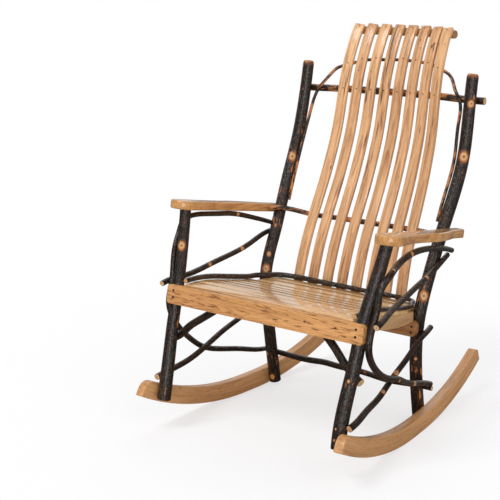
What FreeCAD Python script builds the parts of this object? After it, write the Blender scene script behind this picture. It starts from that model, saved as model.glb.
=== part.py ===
import FreeCAD, Part
import math
import os
import Sketcher
from FreeCAD import Placement, Rotation, Vector

# A hickory rocking chair: bark-covered poles for the frame, sawn oak planks for the rockers,
# arms, seat and back. +Z is up, the chair faces -Y, and the sitter's left is +X.
# The origin is on the floor, in the middle of the chair's outline.

os.makedirs("parts", exist_ok=True)
doc = FreeCAD.newDocument("HickoryRocker")
sheet = doc.addObject("Spreadsheet::Sheet", "Sizes")

SIZES = {
    # the frame's reach, which posts, poles, seat and rockers follow in shares
    "chair_height": 1100,
    "frame_depth": 930,
    "half_width": 377,
    # fit between pieces
    "seat_gap": 0.2,
    "post_clearance": 1,
    "overrun": 30,
    # rockers
    "rocker_thickness": 25,
    "rocker_nose_radius": 30,
    "rocker_tail_radius": 20,
    # poles
    "front_post_radius": 17,
    "rear_post_radius": 18.5,
    "bow_radius": 9.5,
    "slim_bow_radius": 8.6,
    "arm_brace_radius": 8.2,
    "lower_brace_radius": 8.2,
    "front_brace_radius": 11,
    "stretcher_radius": 7.5,
    "hoop_radius": 5,
    "hoop_clearance": 1.8,
    "upper_rail_radius": 11,
    "lower_rail_radius": 8.4,
    "crest_rod_radius": 12.3,
    "twig_radius": 7,
    "twig_clearance": 0.5,
    "rod_clearance": 0.6,
    # arms
    "arm_thickness": 25,
    "arm_length": 474,
    "arm_nose_width": 78,
    "arm_waist_width": 57,
    "arm_swell_width": 62,
    "arm_tab_width": 33,
    "arm_overhang": 38,
    "arm_fall": 73,
    # seat frame
    "apron_height": 54,
    "apron_thickness": 19,
    "apron_corner_radius": 9,
    "apron_lean": 7,
    "rear_rail_reach": 13,
    "rear_rail_height": 44,
    "rear_rail_thickness": 19,
    "rear_rail_corner_radius": 14,
    "panel_thickness": 19,
    "board_thickness": 19,
    "board_depth": 88,
    "board_corner": 30,
    # seat slats
    "seat_slat_thickness": 12,
    "seat_slat_gap": 0.6,
    # back slats
    "slat_width": 30,
    "slat_thickness": 10.5,
    "slat_bow": 15,
    "slat_crown": 3,
    # screws and nails
    "screw_radius": 1.6,
    "screw_head_radius": 3.2,
    "screw_head_height": 0.9,
    "screw_proud": 0.8,
    "screw_grip": 9,
}

for row, (alias, value) in enumerate(SIZES.items(), start=1):
    sheet.set("A%d" % row, alias)
    sheet.set("B%d" % row, str(value))
    sheet.setAlias("B%d" % row, alias)
doc.recompute()


def size(alias):
    """A driving size, read from the sheet."""
    return float(getattr(sheet, alias))


def place(x_share, y_share, z_share):
    """A point given as shares of the half width, the frame's depth and the chair's height."""
    return Vector(
        size("half_width") * x_share,
        size("frame_depth") * y_share,
        size("chair_height") * z_share,
    )


def blend(start, end, share):
    """A value part of the way from start to end."""
    return start + (end - start) * share


nodes = []


def keep(label, thing):
    """Marks an object of the document as one of the chair's pieces."""
    thing.Label = label
    nodes.append(thing)
    return thing


class Pole:
    """A pole along a smooth curve through its points, with a round or a sawn section."""

    def __init__(self, points, radius_alias, radius_shares=(1.0, 1.0)):
        self.curve = Part.BSplineCurve()
        self.curve.interpolate(points)
        self.radius_alias = radius_alias
        self.radius_shares = radius_shares

    def point(self, along):
        return self.curve.value(blend(self.curve.FirstParameter, self.curve.LastParameter, along))

    def tangent(self, along):
        return self.curve.tangent(
            blend(self.curve.FirstParameter, self.curve.LastParameter, along)
        )[0]

    def radius_share(self, along):
        place_in_list = along * (len(self.radius_shares) - 1)
        index = min(int(place_in_list), len(self.radius_shares) - 2)
        return blend(
            self.radius_shares[index], self.radius_shares[index + 1], place_in_list - index
        )

    def radius(self, along):
        return size(self.radius_alias) * self.radius_share(along)

    def along_at_height(self, height, low=0.0, high=1.0):
        """The share of the pole's length where it passes a height, between two shares."""
        rising = self.point(high).z > self.point(low).z
        for _ in range(40):
            middle = (low + high) / 2
            if (self.point(middle).z < height) == rising:
                low = middle
            else:
                high = middle
        return (low + high) / 2

    def frames(self, count):
        """Evenly spread frames that follow the curve without twisting."""
        frames = []
        side = None
        for index in range(count):
            along = index / (count - 1)
            tangent = self.tangent(along)
            if side is None:
                side = tangent.cross(Vector(0, 0, 1))
                if side.Length < abs(tangent.z) * math.sin(math.radians(6)):
                    side = Vector(1, 0, 0)
            side = side - tangent * side.dot(tangent)
            side.normalize()
            frames.append((along, self.point(along), tangent, side))
        return frames


def turned(side, normal):
    """The rotation whose local X is side and whose local Z is normal."""
    side = side - normal * side.dot(normal)
    side.normalize()
    return Rotation(side, normal.cross(side), normal, "ZXY")


def round_pole(label, pole, count, start_normal=None, end_normal=None):
    """A loft through rings along a pole; its ends may be cut along given planes."""
    rings = []
    for along, point, tangent, side in pole.frames(count):
        if along == 0 and start_normal is not None:
            tangent = start_normal
        if along == 1 and end_normal is not None:
            tangent = end_normal
        ring = doc.addObject("Part::Circle", label + "_ring")
        ring.setExpression(
            "Radius", "Sizes.%s * %.4f" % (pole.radius_alias, pole.radius_share(along))
        )
        ring.Placement = Placement(point, turned(side, tangent))
        rings.append(ring)
    loft = doc.addObject("Part::Loft", label)
    loft.Sections = rings
    loft.Solid = True
    loft.Ruled = False
    return loft


def beside(pole, height, direction, own_radius, low=0.0, high=1.0):
    """Where a second pole's centre line lies when it touches this one at a height."""
    along = pole.along_at_height(height, low, high)
    tangent = pole.tangent(along)
    outward = direction - tangent * direction.dot(tangent)
    outward.normalize()
    return pole.point(along) + outward * (pole.radius(along) + own_radius + size("seat_gap"))


def outline_body(label, plane_role, edges, length, reversed_pad=False):
    """A plank: an outline on one of its own planes, padded by a named size or a length."""
    body = doc.addObject("PartDesign::Body", label)
    plane = [item for item in body.Origin.OriginFeatures if item.Role == plane_role][0]
    sketch = body.newObject("Sketcher::SketchObject", label + "_outline")
    sketch.AttachmentSupport = [(plane, "")]
    sketch.MapMode = "FlatFace"
    sketch.addGeometry(edges, False)
    for index in range(len(edges)):
        following = (index + 1) % len(edges)
        ends = [(first, second) for first in (1, 2) for second in (1, 2)]
        gaps = []
        for first, second in ends:
            step = sketch.getPoint(index, first) - sketch.getPoint(following, second)
            gaps.append(step.Length)
        first, second = ends[gaps.index(min(gaps))]
        sketch.addConstraint(Sketcher.Constraint("Coincident", index, first, following, second))
    pad = body.newObject("PartDesign::Pad", label + "_pad")
    pad.Profile = sketch
    pad.Reversed = reversed_pad
    if length in SIZES:
        pad.setExpression("Length", "Sizes." + length)
    else:
        pad.Length = length
    return body


def polygon(points):
    """The straight edges of a closed outline."""
    edges = []
    for index, point in enumerate(points):
        edges.append(Part.LineSegment(point, points[(index + 1) % len(points)]))
    return edges


def rounded_rectangle(left, bottom, right, top, radius):
    """A rectangle with round corners, as lines and arcs in order."""
    centres = (
        Vector(right - radius, bottom + radius, 0),
        Vector(right - radius, top - radius, 0),
        Vector(left + radius, top - radius, 0),
        Vector(left + radius, bottom + radius, 0),
    )
    quarter = math.pi / 2
    corners = []
    for index, centre in enumerate(centres):
        spots = []
        for turn_share in (0, 0.5, 1):
            angle = quarter * (index - 1 + turn_share)
            spots.append(centre + Vector(math.cos(angle), math.sin(angle), 0) * radius)
        corners.append(spots)
    edges = []
    for index, spots in enumerate(corners):
        following = corners[(index + 1) % len(corners)]
        edges.append(Part.Arc(*spots))
        edges.append(Part.LineSegment(spots[2], following[0]))
    return edges


def screw(point, direction, length):
    """One screw: a low round head on the face at point and a shank into the wood."""
    head_end = point - direction * (size("screw_head_height") + size("screw_proud"))
    head = Part.makeCylinder(
        size("screw_head_radius"), size("screw_head_height"), head_end, direction
    )
    shank = Part.makeCylinder(size("screw_radius"), length, head_end, direction)
    return head.fuse(shank).removeSplitter()


def drill(point, direction, length):
    """The hole that a screw's shank needs, with its clearance."""
    return Part.makeCylinder(
        size("screw_radius") + size("seat_gap"),
        length + size("seat_gap"),
        point,
        direction,
    )


def group(label, solids):
    """Like fasteners as one node of separate solids."""
    feature = doc.addObject("Part::Feature", label)
    feature.Shape = Part.makeCompound(solids)
    return keep(label, feature)


def drilled(label, piece, holes):
    """A piece with its screw holes cut."""
    tool = doc.addObject("Part::Feature", label + "_holes")
    tool.Shape = Part.makeCompound(holes)
    cut = doc.addObject("Part::Cut", label)
    cut.Base = piece
    cut.Tool = tool
    return keep(label, cut)


# Posts
# Each post is one bent sapling. The front posts run from inside the rockers up to the arms,
# the rear posts from the rockers up past the shoulders.

SIDES = (("left", 1), ("right", -1))

FRONT_POST_SHARES = (
    (0.770, -0.416, 0.0836),
    (0.774, -0.389, 0.1818),
    (0.797, -0.350, 0.2909),
    (0.805, -0.324, 0.3636),
    (0.835, -0.287, 0.4545),
    (0.871, -0.251, 0.5470),
)
FRONT_RADIUS_SHARES = {"left": (1.18, 1.10, 1.02), "right": (1.18, 1.0, 0.96)}
REAR_POST_SHARES = (
    (0.675, 0.112, 0.0109),
    (0.675, 0.085, 0.1364),
    (0.689, 0.071, 0.2455),
    (0.706, 0.072, 0.3045),
    (0.718, 0.092, 0.3636),
    (0.724, 0.137, 0.4409),
    (0.735, 0.177, 0.5091),
    (0.751, 0.226, 0.5909),
    (0.755, 0.276, 0.6818),
    (0.744, 0.309, 0.7909),
    (0.738, 0.332, 0.8955),
)
REAR_POST_TOP_SHARES = {"left": 0.8915, "right": 0.8985}


def mirrored(shares, side):
    """Points from shares, turned over to the other side of the chair where side is -1."""
    return [place(x * side, y, z) for x, y, z in shares]


arm_run = size("arm_length") * math.cos(math.asin(size("arm_fall") / size("arm_length")))
ARM_FRONT_HEIGHT_SHARES = {"left": 0.5473, "right": 0.5523}
ARM_FALL_SHARES = {"left": 1.0, "right": 1.18}
front_top = place(*FRONT_POST_SHARES[-1])


def arm_slope(name):
    """How far the underside of an arm falls for each length it runs back."""
    return size("arm_fall") * ARM_FALL_SHARES[name] / arm_run


def arm_up(name):
    angle = math.atan(arm_slope(name))
    return Vector(0, math.sin(angle), math.cos(angle))


def arm_underside(name, y):
    """The height of an arm's underside, which falls towards the back."""
    front_height = size("chair_height") * ARM_FRONT_HEIGHT_SHARES[name]
    return front_height - arm_slope(name) * (y - front_top.y)


def front_post_pole(name, side):
    points = mirrored(FRONT_POST_SHARES, side)
    points[-1].z = arm_underside(name, front_top.y) - size("seat_gap")
    return Pole(points, "front_post_radius", FRONT_RADIUS_SHARES[name])


def rear_post_pole(name, side):
    points = mirrored(REAR_POST_SHARES, side)
    points[-1].z = size("chair_height") * REAR_POST_TOP_SHARES[name]
    return Pole(points, "rear_post_radius", (1.02, 1.0, 1.0, 0.94))


front_posts = {}
rear_posts = {}
for name, side in SIDES:
    front_posts[name] = front_post_pole(name, side)
    rear_posts[name] = rear_post_pole(name, side)

# Apron
# The plank across the front of the seat leans back a little with the posts, which are
# notched to take it.

APRON_HALF_LENGTH_SHARE = 0.850
APRON_FRONT_SHARE = -0.3505
APRON_TOP_SHARE = 0.3736
apron_half_length = size("half_width") * APRON_HALF_LENGTH_SHARE
apron_front_y = size("frame_depth") * APRON_FRONT_SHARE
apron_top_height = size("chair_height") * APRON_TOP_SHARE
apron_angle = math.atan(size("apron_lean") / size("apron_height"))
apron_rotation = Rotation(Vector(1, 0, 0), -math.degrees(apron_angle))
apron_top_front = Vector(0, apron_front_y, apron_top_height)
apron_up = Vector(0, math.sin(apron_angle), math.cos(apron_angle))
apron_back = Vector(0, math.cos(apron_angle), -math.sin(apron_angle))
apron_outline = rounded_rectangle(
    -apron_half_length,
    -size("apron_height"),
    apron_half_length,
    0,
    size("apron_corner_radius"),
)
apron = outline_body("front_apron_plank", "XZ_Plane", apron_outline, "apron_thickness", True)
apron.Placement = Placement(apron_top_front, apron_rotation)
APRON_SCREW_X_SHARE = 0.933
APRON_SCREW_HEIGHT_SHARES = (0.30, 0.66)


def apron_back_y(height):
    """Where the apron's back face lies at a height."""
    drop = apron_top_height - height
    return apron_front_y + size("apron_thickness") / math.cos(apron_angle) - (
        drop * math.tan(apron_angle)
    )


apron_screws = []
apron_holes = []
for name, side in SIDES:
    for share in APRON_SCREW_HEIGHT_SHARES:
        spot = (
            apron_top_front
            - apron_up * (size("apron_height") * share)
            + Vector(side * apron_half_length * APRON_SCREW_X_SHARE, 0, 0)
        )
        reach = size("apron_thickness") + size("screw_grip")
        apron_screws.append(screw(spot, apron_back, reach))
        apron_holes.append(drill(spot, apron_back, reach))
drilled("front_apron", apron, apron_holes)
group("apron_screws", apron_screws)

# the room that the apron needs in the posts
notch = doc.addObject("Part::Box", "apron_notch")
notch.setExpression("Length", "2 * Sizes.half_width")
notch.setExpression("Width", "Sizes.apron_thickness + Sizes.seat_gap + Sizes.overrun")
notch.setExpression("Height", "Sizes.apron_height + 2 * Sizes.seat_gap")
notch_corner = (
    apron_top_front
    - apron_up * (size("apron_height") + size("seat_gap"))
    - apron_back * size("overrun")
    - Vector(size("half_width"), 0, 0)
)
notch.Placement = Placement(notch_corner, apron_rotation)

for name, side in SIDES:
    label = "front_post_" + name
    post = round_pole(label + "_pole", front_posts[name], 10, end_normal=arm_up(name))
    cut = doc.addObject("Part::Cut", label + "_notched")
    cut.Base = post
    cut.Tool = notch
    drilled(label, cut, apron_holes)

# Rear seat rail
# A plank with round ends across the fronts of the rear posts, under the seat.

rear_rail_top = size("chair_height") * 0.29
rear_rail_middle = rear_rail_top - size("rear_rail_height") / 2
rear_rail_back_y = min(
    beside(rear_posts["left"], height, Vector(0, -1, 0), 0).y
    for height in (
        rear_rail_middle - size("rear_rail_height") / 2,
        rear_rail_middle,
        rear_rail_middle + size("rear_rail_height") / 2,
    )
)
rear_rail_post_x = rear_posts["left"].point(
    rear_posts["left"].along_at_height(rear_rail_middle)
).x
rear_rail_half_length = rear_rail_post_x + size("rear_rail_reach")
rear_rail_outline = rounded_rectangle(
    -rear_rail_half_length,
    -size("rear_rail_height"),
    rear_rail_half_length,
    0,
    size("rear_rail_corner_radius"),
)
rear_rail = outline_body(
    "rear_rail_plank", "XZ_Plane", rear_rail_outline, "rear_rail_thickness", True
)
rear_rail_front_y = rear_rail_back_y - size("rear_rail_thickness")
rear_rail.Placement = Placement(
    Vector(0, rear_rail_front_y, rear_rail_top), Rotation()
)
REAR_RAIL_SCREW_HEIGHT_SHARES = (0.32, 0.72)
rear_rail_screws = []
rear_rail_holes = []
for name, side in SIDES:
    for share in REAR_RAIL_SCREW_HEIGHT_SHARES:
        height = rear_rail_top - size("rear_rail_height") * share
        post = rear_posts[name]
        spot = Vector(post.point(post.along_at_height(height)).x, rear_rail_front_y, height)
        reach = size("rear_rail_thickness") + size("screw_grip")
        rear_rail_screws.append(screw(spot, Vector(0, 1, 0), reach))
        rear_rail_holes.append(drill(spot, Vector(0, 1, 0), reach))
drilled("rear_seat_rail", rear_rail, rear_rail_holes)
group("rear_rail_screws", rear_rail_screws)

for name, side in SIDES:
    label = "rear_post_" + name
    post = round_pole(label + "_pole", rear_posts[name], 16)
    drilled(label, post, rear_rail_holes)

# Rockers
# A plank on edge outside each pair of posts, cut to an arc in front and an arc behind. The
# arcs meet in a short flat, on which the chair rests.

FRONT_FOOT_SHARE = 0.06
REAR_FOOT_SHARE = 0.02
ROCKER_LENGTH_SHARE = 0.968
ROCKER_FLAT_SHARE = 0.054
ROCKER_CONTACT_SHARE = 0.015
ROCKER_FRONT_RISE_SHARE = 0.102
ROCKER_REAR_RISE_SHARE = 0.084
ROCKER_HEIGHT_SHARE = 0.0455
front_grip = front_posts["left"].point(FRONT_FOOT_SHARE)
rear_grip = rear_posts["left"].point(REAR_FOOT_SHARE)
rocker_gap = 4 * size("seat_gap")
front_face_x = front_grip.x + front_posts["left"].radius(FRONT_FOOT_SHARE) + rocker_gap
rear_face_x = rear_grip.x + rear_posts["left"].radius(0) + rocker_gap
rocker_angle = math.atan((front_face_x - rear_face_x) / (rear_grip.y - front_grip.y))
rocker_face_x = front_face_x + front_grip.y * math.tan(rocker_angle)
rocker_half_length = size("frame_depth") * ROCKER_LENGTH_SHARE / 2 / math.cos(rocker_angle)
rocker_half_flat = size("frame_depth") * ROCKER_FLAT_SHARE / 2
rocker_contact = size("frame_depth") * ROCKER_CONTACT_SHARE / math.cos(rocker_angle)
rocker_height = size("chair_height") * ROCKER_HEIGHT_SHARE


class RockerArc:
    """The stretch of a rocker ahead of its flat, or behind it."""

    def __init__(self, way, rise_share):
        self.way = way
        self.start = rocker_contact + way * rocker_half_flat
        self.reach = rocker_half_length - way * rocker_contact - rocker_half_flat
        rise = size("chair_height") * rise_share
        self.radius = (self.reach ** 2 + rise ** 2) / (2 * rise)
        self.end = math.asin(self.reach / self.radius)

    def point(self, height, angle):
        """A point of the side view, a height above the arc of the underside."""
        reach = self.radius - height
        return Vector(
            self.start + self.way * reach * math.sin(angle),
            self.radius - reach * math.cos(angle),
            0,
        )

    def edges(self, corner_radius):
        """From the flat along the underside, up the end and back along the top."""
        inner_radius = self.radius - rocker_height
        corner_start = self.end - corner_radius / inner_radius
        bend = 1 - math.sqrt(2) / 2
        corner_bend = blend(self.end, corner_start, bend)
        corner_height = rocker_height - corner_radius
        underside = Part.Arc(
            self.point(0, 0), self.point(0, self.end / 2), self.point(0, self.end)
        )
        end = Part.LineSegment(self.point(0, self.end), self.point(corner_height, self.end))
        corner = Part.Arc(
            self.point(corner_height, self.end),
            self.point(rocker_height - corner_radius * bend, corner_bend),
            self.point(rocker_height, corner_start),
        )
        top = Part.Arc(
            self.point(rocker_height, corner_start),
            self.point(rocker_height, corner_start / 2),
            self.point(rocker_height, 0),
        )
        return [underside, end, corner, top]


def rocker_outline():
    """The rocker's side view, round from the flat's rear end."""
    front = RockerArc(-1, ROCKER_FRONT_RISE_SHARE)
    rear = RockerArc(1, ROCKER_REAR_RISE_SHARE)
    crown = Part.LineSegment(rear.point(rocker_height, 0), front.point(rocker_height, 0))
    flat = Part.LineSegment(front.point(0, 0), rear.point(0, 0))
    front_edges = front.edges(size("rocker_nose_radius"))
    rear_edges = rear.edges(size("rocker_tail_radius"))
    return rear_edges + [crown] + front_edges[::-1] + [flat]


for name, side in SIDES:
    label = "rocker_" + name
    rocker = outline_body(label, "YZ_Plane", rocker_outline(), "rocker_thickness", side < 0)
    rocker.Placement = Placement(
        Vector(side * rocker_face_x, 0, 0),
        Rotation(Vector(0, 0, 1), side * math.degrees(rocker_angle)),
    )
    keep(label, rocker)

# Seat
# Eight sawn slats lie from side to side on two shaped side panels. Their tops follow one
# scooped line from the apron to the back slats.

SEAT_HEIGHT_SHARES = (1.0, 0.998, 0.984, 0.959, 0.931, 0.904, 0.881, 0.869, 0.854)
SEAT_BACK_SHARE = 0.1043
PANEL_END_SHARE = 0.0360
PANEL_FRONT_SHARE = 0.7375
PANEL_REAR_SHARE = 0.703
seat_front_y = apron_back_y(apron_top_height) + size("seat_gap")
seat_back_y = size("frame_depth") * SEAT_BACK_SHARE
panel_end_y = size("frame_depth") * PANEL_END_SHARE
panel_front_x = size("half_width") * PANEL_FRONT_SHARE
panel_rear_x = size("half_width") * PANEL_REAR_SHARE
slat_count = len(SEAT_HEIGHT_SHARES) - 1
slat_pitch = (seat_back_y - seat_front_y) / slat_count
seat_line = []
for index, share in enumerate(SEAT_HEIGHT_SHARES):
    seat_line.append((seat_front_y + slat_pitch * index, apron_top_height * share))


def seat_top(y):
    """The height of the seat's top at a distance back."""
    spot = min(max((y - seat_front_y) / slat_pitch, 0), slat_count)
    index = min(int(spot), slat_count - 1)
    return blend(seat_line[index][1], seat_line[index + 1][1], spot - index)


panel_angle = math.atan((panel_front_x - panel_rear_x) / (panel_end_y - seat_front_y))


def panel_face_x(y):
    """Half the seat's width, at the panels' outer faces, at a distance back."""
    return panel_front_x - (y - seat_front_y) * math.tan(panel_angle)


for index in range(slat_count):
    label = "seat_slat_%d" % (index + 1)
    front_y = seat_line[index][0] + size("seat_slat_gap") / 2
    rear_y = seat_line[index + 1][0] - size("seat_slat_gap") / 2
    drop = size("seat_slat_thickness")
    half_span = panel_face_x((front_y + rear_y) / 2)
    post = rear_posts["left"]
    post_along = post.along_at_height(seat_top(rear_y))
    post_middle = post.point(post_along)
    post_room = post.radius(post_along) + size("post_clearance")
    if rear_y > post_middle.y - post_room - size("seat_slat_thickness"):
        half_span = min(half_span, post_middle.x - post_room)
    slat = outline_body(
        label,
        "YZ_Plane",
        polygon(
            [
                Vector(front_y, seat_top(front_y) - drop, 0),
                Vector(rear_y, seat_top(rear_y) - drop, 0),
                Vector(rear_y, seat_top(rear_y), 0),
                Vector(front_y, seat_top(front_y), 0),
            ]
        ),
        2 * half_span,
    )
    slat.Placement = Placement(Vector(-half_span, 0, 0), Rotation())
    keep(label, slat)

PANEL_BELLY_SHARES = (
    (0.03, 0.905),
    (0.28, 0.873),
    (0.50, 0.822),
    (0.74, 0.788),
    (0.91, 0.777),
)
panel_run = panel_end_y - seat_front_y
for name, side in SIDES:
    label = "seat_side_panel_" + name
    points = [Vector(seat_front_y, seat_top(seat_front_y) - size("seat_slat_thickness"), 0)]
    for run_share, height_share in PANEL_BELLY_SHARES:
        points.append(
            Vector(seat_front_y + panel_run * run_share, apron_top_height * height_share, 0)
        )
    points.append(Vector(panel_end_y, rear_rail_top + size("seat_gap"), 0))
    points.append(Vector(panel_end_y, seat_top(panel_end_y) - size("seat_slat_thickness"), 0))
    for y, height in reversed(seat_line[1:]):
        if y < panel_end_y:
            points.append(Vector(y, height - size("seat_slat_thickness"), 0))
    points = [
        Vector((point.x - seat_front_y) / math.cos(panel_angle), point.y, 0) for point in points
    ]
    panel = outline_body(label, "YZ_Plane", polygon(points), "panel_thickness", side > 0)
    panel.Placement = Placement(
        Vector(side * panel_front_x, seat_front_y, 0),
        Rotation(Vector(0, 0, 1), side * math.degrees(panel_angle)),
    )
    keep(label, panel)

# Back board
# A flat board on the rear rail carries the last seat slat and the feet of the back slats.

board_front_y = rear_rail_front_y
board_back_y = board_front_y + size("board_depth")
board_bottom = rear_rail_top + size("seat_gap")
board_top = board_bottom + size("board_thickness")
board_half_span = size("half_width") * 0.6446
board_points = [
    Vector(-board_half_span, board_front_y, 0),
    Vector(board_half_span, board_front_y, 0),
    Vector(board_half_span, board_back_y - size("board_corner"), 0),
    Vector(board_half_span - size("board_corner") / 4, board_back_y, 0),
    Vector(-board_half_span + size("board_corner") / 4, board_back_y, 0),
    Vector(-board_half_span, board_back_y - size("board_corner"), 0),
]
board = outline_body("back_foot_board", "XY_Plane", polygon(board_points), "board_thickness")
board.Placement = Placement(Vector(0, 0, board_bottom), Rotation())
keep("back_foot_board", board)

# Back slats
# Eight slats stand on the board, fan in towards the top and lean back in one long bend.
# The middle ones lean back a little more than the outer ones.

SLAT_FOOT_X_SHARES = (-0.470, -0.336, -0.201, -0.066, 0.069, 0.203, 0.337, 0.470)
SLAT_TOP_X_SHARES = (-0.396, -0.286, -0.167, -0.048, 0.070, 0.188, 0.302, 0.398)
SLAT_LINE_SHARES = (
    (0.124, 0.3182),
    (0.142, 0.3727),
    (0.178, 0.4545),
    (0.221, 0.5273),
    (0.259, 0.5909),
    (0.293, 0.6591),
    (0.320, 0.7273),
    (0.337, 0.8000),
    (0.353, 0.8636),
    (0.379, 0.9273),
    (0.431, 1.0000),
)
slat_line = Part.BSplineCurve()
slat_line.interpolate([place(0, y, z) for y, z in SLAT_LINE_SHARES])
slat_foot_height = board_top + size("seat_gap")
slat_outer_x = size("half_width") * SLAT_TOP_X_SHARES[-1]


def slat_rise(height):
    """The share of the way from the board to the slats' tops."""
    return (height - slat_foot_height) / (size("chair_height") - slat_foot_height)


def slat_point(x, height):
    """The middle of the row of slats at a place across and a height."""
    low, high = slat_line.FirstParameter, slat_line.LastParameter
    for _ in range(40):
        middle = (low + high) / 2
        if slat_line.value(middle).z < height:
            low = middle
        else:
            high = middle
    bow = size("slat_bow") * (1 - (x / slat_outer_x) ** 2) * slat_rise(height)
    point = slat_line.value((low + high) / 2)
    point.x = x
    point.y += bow
    point.z = height
    return point


def slat_tangent(x, height):
    step = size("slat_thickness") / 8
    rise = slat_point(x, height + step) - slat_point(x, height - step)
    return rise.normalize()


def slat_side(x, height):
    """The direction across a slat, which turns with the row's bow."""
    step = size("slat_thickness") / 8
    reach = slat_point(x + step, height) - slat_point(x - step, height)
    return reach.normalize()


def slat_normal(x, height):
    """The direction out of a slat's back."""
    return slat_tangent(x, height).cross(slat_side(x, height)).normalize()


def behind_slats(x, height, radius):
    """A rod's centre where it touches the backs of the slats."""
    normal = slat_normal(x, height)
    distance = size("slat_thickness") / 2 + radius + size("rod_clearance")
    return slat_point(x, height) + normal * distance


def slat_x(index, height):
    foot = size("half_width") * SLAT_FOOT_X_SHARES[index]
    top = size("half_width") * SLAT_TOP_X_SHARES[index]
    return blend(foot, top, slat_rise(height))


CREST_HEIGHT_SHARE = 0.992
UPPER_RAIL_HEIGHT_SHARE = 0.8275
HOOP_CROSS_HEIGHT_SHARES = (0.895, 0.907, 0.911, 0.913, 0.914, 0.912, 0.908, 0.897)
crest_height = size("chair_height") * CREST_HEIGHT_SHARE
upper_rail_height = size("chair_height") * UPPER_RAIL_HEIGHT_SHARE


def slat_holes(index):
    """The three screws through one slat: into the crest rod, the hoop and the upper rail."""
    heights = (
        (crest_height, "crest_rod_radius"),
        (size("chair_height") * HOOP_CROSS_HEIGHT_SHARES[index], "hoop_radius"),
        (upper_rail_height, "upper_rail_radius"),
    )
    rows = []
    for height, radius in heights:
        x = slat_x(index, height)
        normal = slat_normal(x, height)
        face = slat_point(x, height) - normal * (size("slat_thickness") / 2)
        rows.append((face, normal, size("slat_thickness") + size(radius)))
    return rows


slat_screws = {"crest": [], "hoop": [], "upper_rail": []}
slat_drills = {"crest": [], "hoop": [], "upper_rail": []}
for index in range(len(SLAT_FOOT_X_SHARES)):
    label = "back_slat_%d" % (index + 1)
    crown = size("slat_crown") * (SLAT_TOP_X_SHARES[index] / SLAT_TOP_X_SHARES[-1]) ** 2
    top_height = size("chair_height") - crown
    sections = []
    stations = 12
    for station in range(stations + 1):
        height = blend(slat_foot_height, top_height, station / stations)
        x = slat_x(index, height)
        ahead = slat_x(index, height + size("slat_thickness")) - x
        up = slat_tangent(x, height)
        up = (up + Vector(ahead / size("slat_thickness"), 0, 0)).normalize()
        if station == 0:
            up = Vector(0, 0, 1)
        section = doc.addObject("Part::Plane", label + "_section")
        section.setExpression("Length", "Sizes.slat_width")
        section.setExpression("Width", "Sizes.slat_thickness")
        corner = Vector(-size("slat_width") / 2, -size("slat_thickness") / 2, 0)
        turn = turned(slat_side(x, height), up)
        section.Placement = Placement(slat_point(x, height) + turn.multVec(corner), turn)
        sections.append(section)
    slat = doc.addObject("Part::Loft", label + "_plank")
    slat.Sections = sections
    slat.Solid = True
    slat.Ruled = False
    holes = []
    for key, (face, normal, reach) in zip(("crest", "hoop", "upper_rail"), slat_holes(index)):
        slat_screws[key].append(screw(face, normal, reach))
        hole = drill(face, normal, reach)
        slat_drills[key].append(hole)
        holes.append(hole)
    drilled(label, slat, holes)
group("crest_screws", slat_screws["crest"])
group("hoop_screws", slat_screws["hoop"])
group("upper_rail_screws", slat_screws["upper_rail"])

# Rods behind the slats
# The crest rod, the upper rail and the lower rail run across behind the slats. The upper rail
# passes behind both rear posts; the lower one passes in front of the right rear post.


def across(radius_alias, height_shares, x_shares):
    """Points of a rod that touches the slats' backs."""
    points = []
    for x_share, height_share in zip(x_shares, height_shares):
        x = size("half_width") * x_share
        points.append(behind_slats(x, size("chair_height") * height_share, size(radius_alias)))
    return points


CREST_X_SHARES = (-0.437, -0.286, -0.048, 0.188, 0.437)
crest_heights = (CREST_HEIGHT_SHARE,) * len(CREST_X_SHARES)
crest_rod = Pole(across("crest_rod_radius", crest_heights, CREST_X_SHARES), "crest_rod_radius")
drilled("crest_rod", round_pole("crest_rod_pole", crest_rod, 6), slat_drills["crest"])

UPPER_RAIL_X_SHARES = (-0.45, -0.22, 0, 0.22, 0.45)
UPPER_RAIL_STUB_SHARE = 0.084
upper_radius = size("upper_rail_radius")
upper_heights = (UPPER_RAIL_HEIGHT_SHARE,) * len(UPPER_RAIL_X_SHARES)
upper_points = across("upper_rail_radius", upper_heights, UPPER_RAIL_X_SHARES)
upper_left = beside(rear_posts["left"], upper_rail_height, Vector(0, 1, 0), upper_radius)
upper_right = beside(rear_posts["right"], upper_rail_height, Vector(0, 1, 0), upper_radius)
rail_stub = Vector(size("half_width") * UPPER_RAIL_STUB_SHARE, -size("seat_gap"), 0)
upper_rail = Pole(
    [Vector(upper_right.x - rail_stub.x, upper_right.y + rail_stub.y, upper_right.z), upper_right]
    + upper_points
    + [upper_left, upper_left + rail_stub],
    "upper_rail_radius",
)

LOWER_RAIL_HEIGHT_SHARE = 0.4925
LOWER_RAIL_RIGHT_HEIGHT_SHARE = 0.4965
LOWER_RAIL_LEFT_HEIGHT_SHARE = 0.4935
LOWER_RAIL_RIGHT_WAY_SHARES = (0.61, -0.79, 0)
LOWER_RAIL_X_SHARES = (-0.475, -0.30, -0.15, 0, 0.15, 0.30, 0.47)
lower_radius = size("lower_rail_radius")
lower_right = beside(
    rear_posts["right"],
    size("chair_height") * LOWER_RAIL_RIGHT_HEIGHT_SHARE,
    Vector(*LOWER_RAIL_RIGHT_WAY_SHARES),
    lower_radius + size("post_clearance"),
)
lower_left = beside(
    rear_posts["left"],
    size("chair_height") * LOWER_RAIL_LEFT_HEIGHT_SHARE,
    Vector(0, 1, 0),
    lower_radius,
)
lower_heights = (LOWER_RAIL_HEIGHT_SHARE,) * len(LOWER_RAIL_X_SHARES)
lower_points = across("lower_rail_radius", lower_heights, LOWER_RAIL_X_SHARES)
lower_stub = place(0.070, 0.0216, 0)
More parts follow.
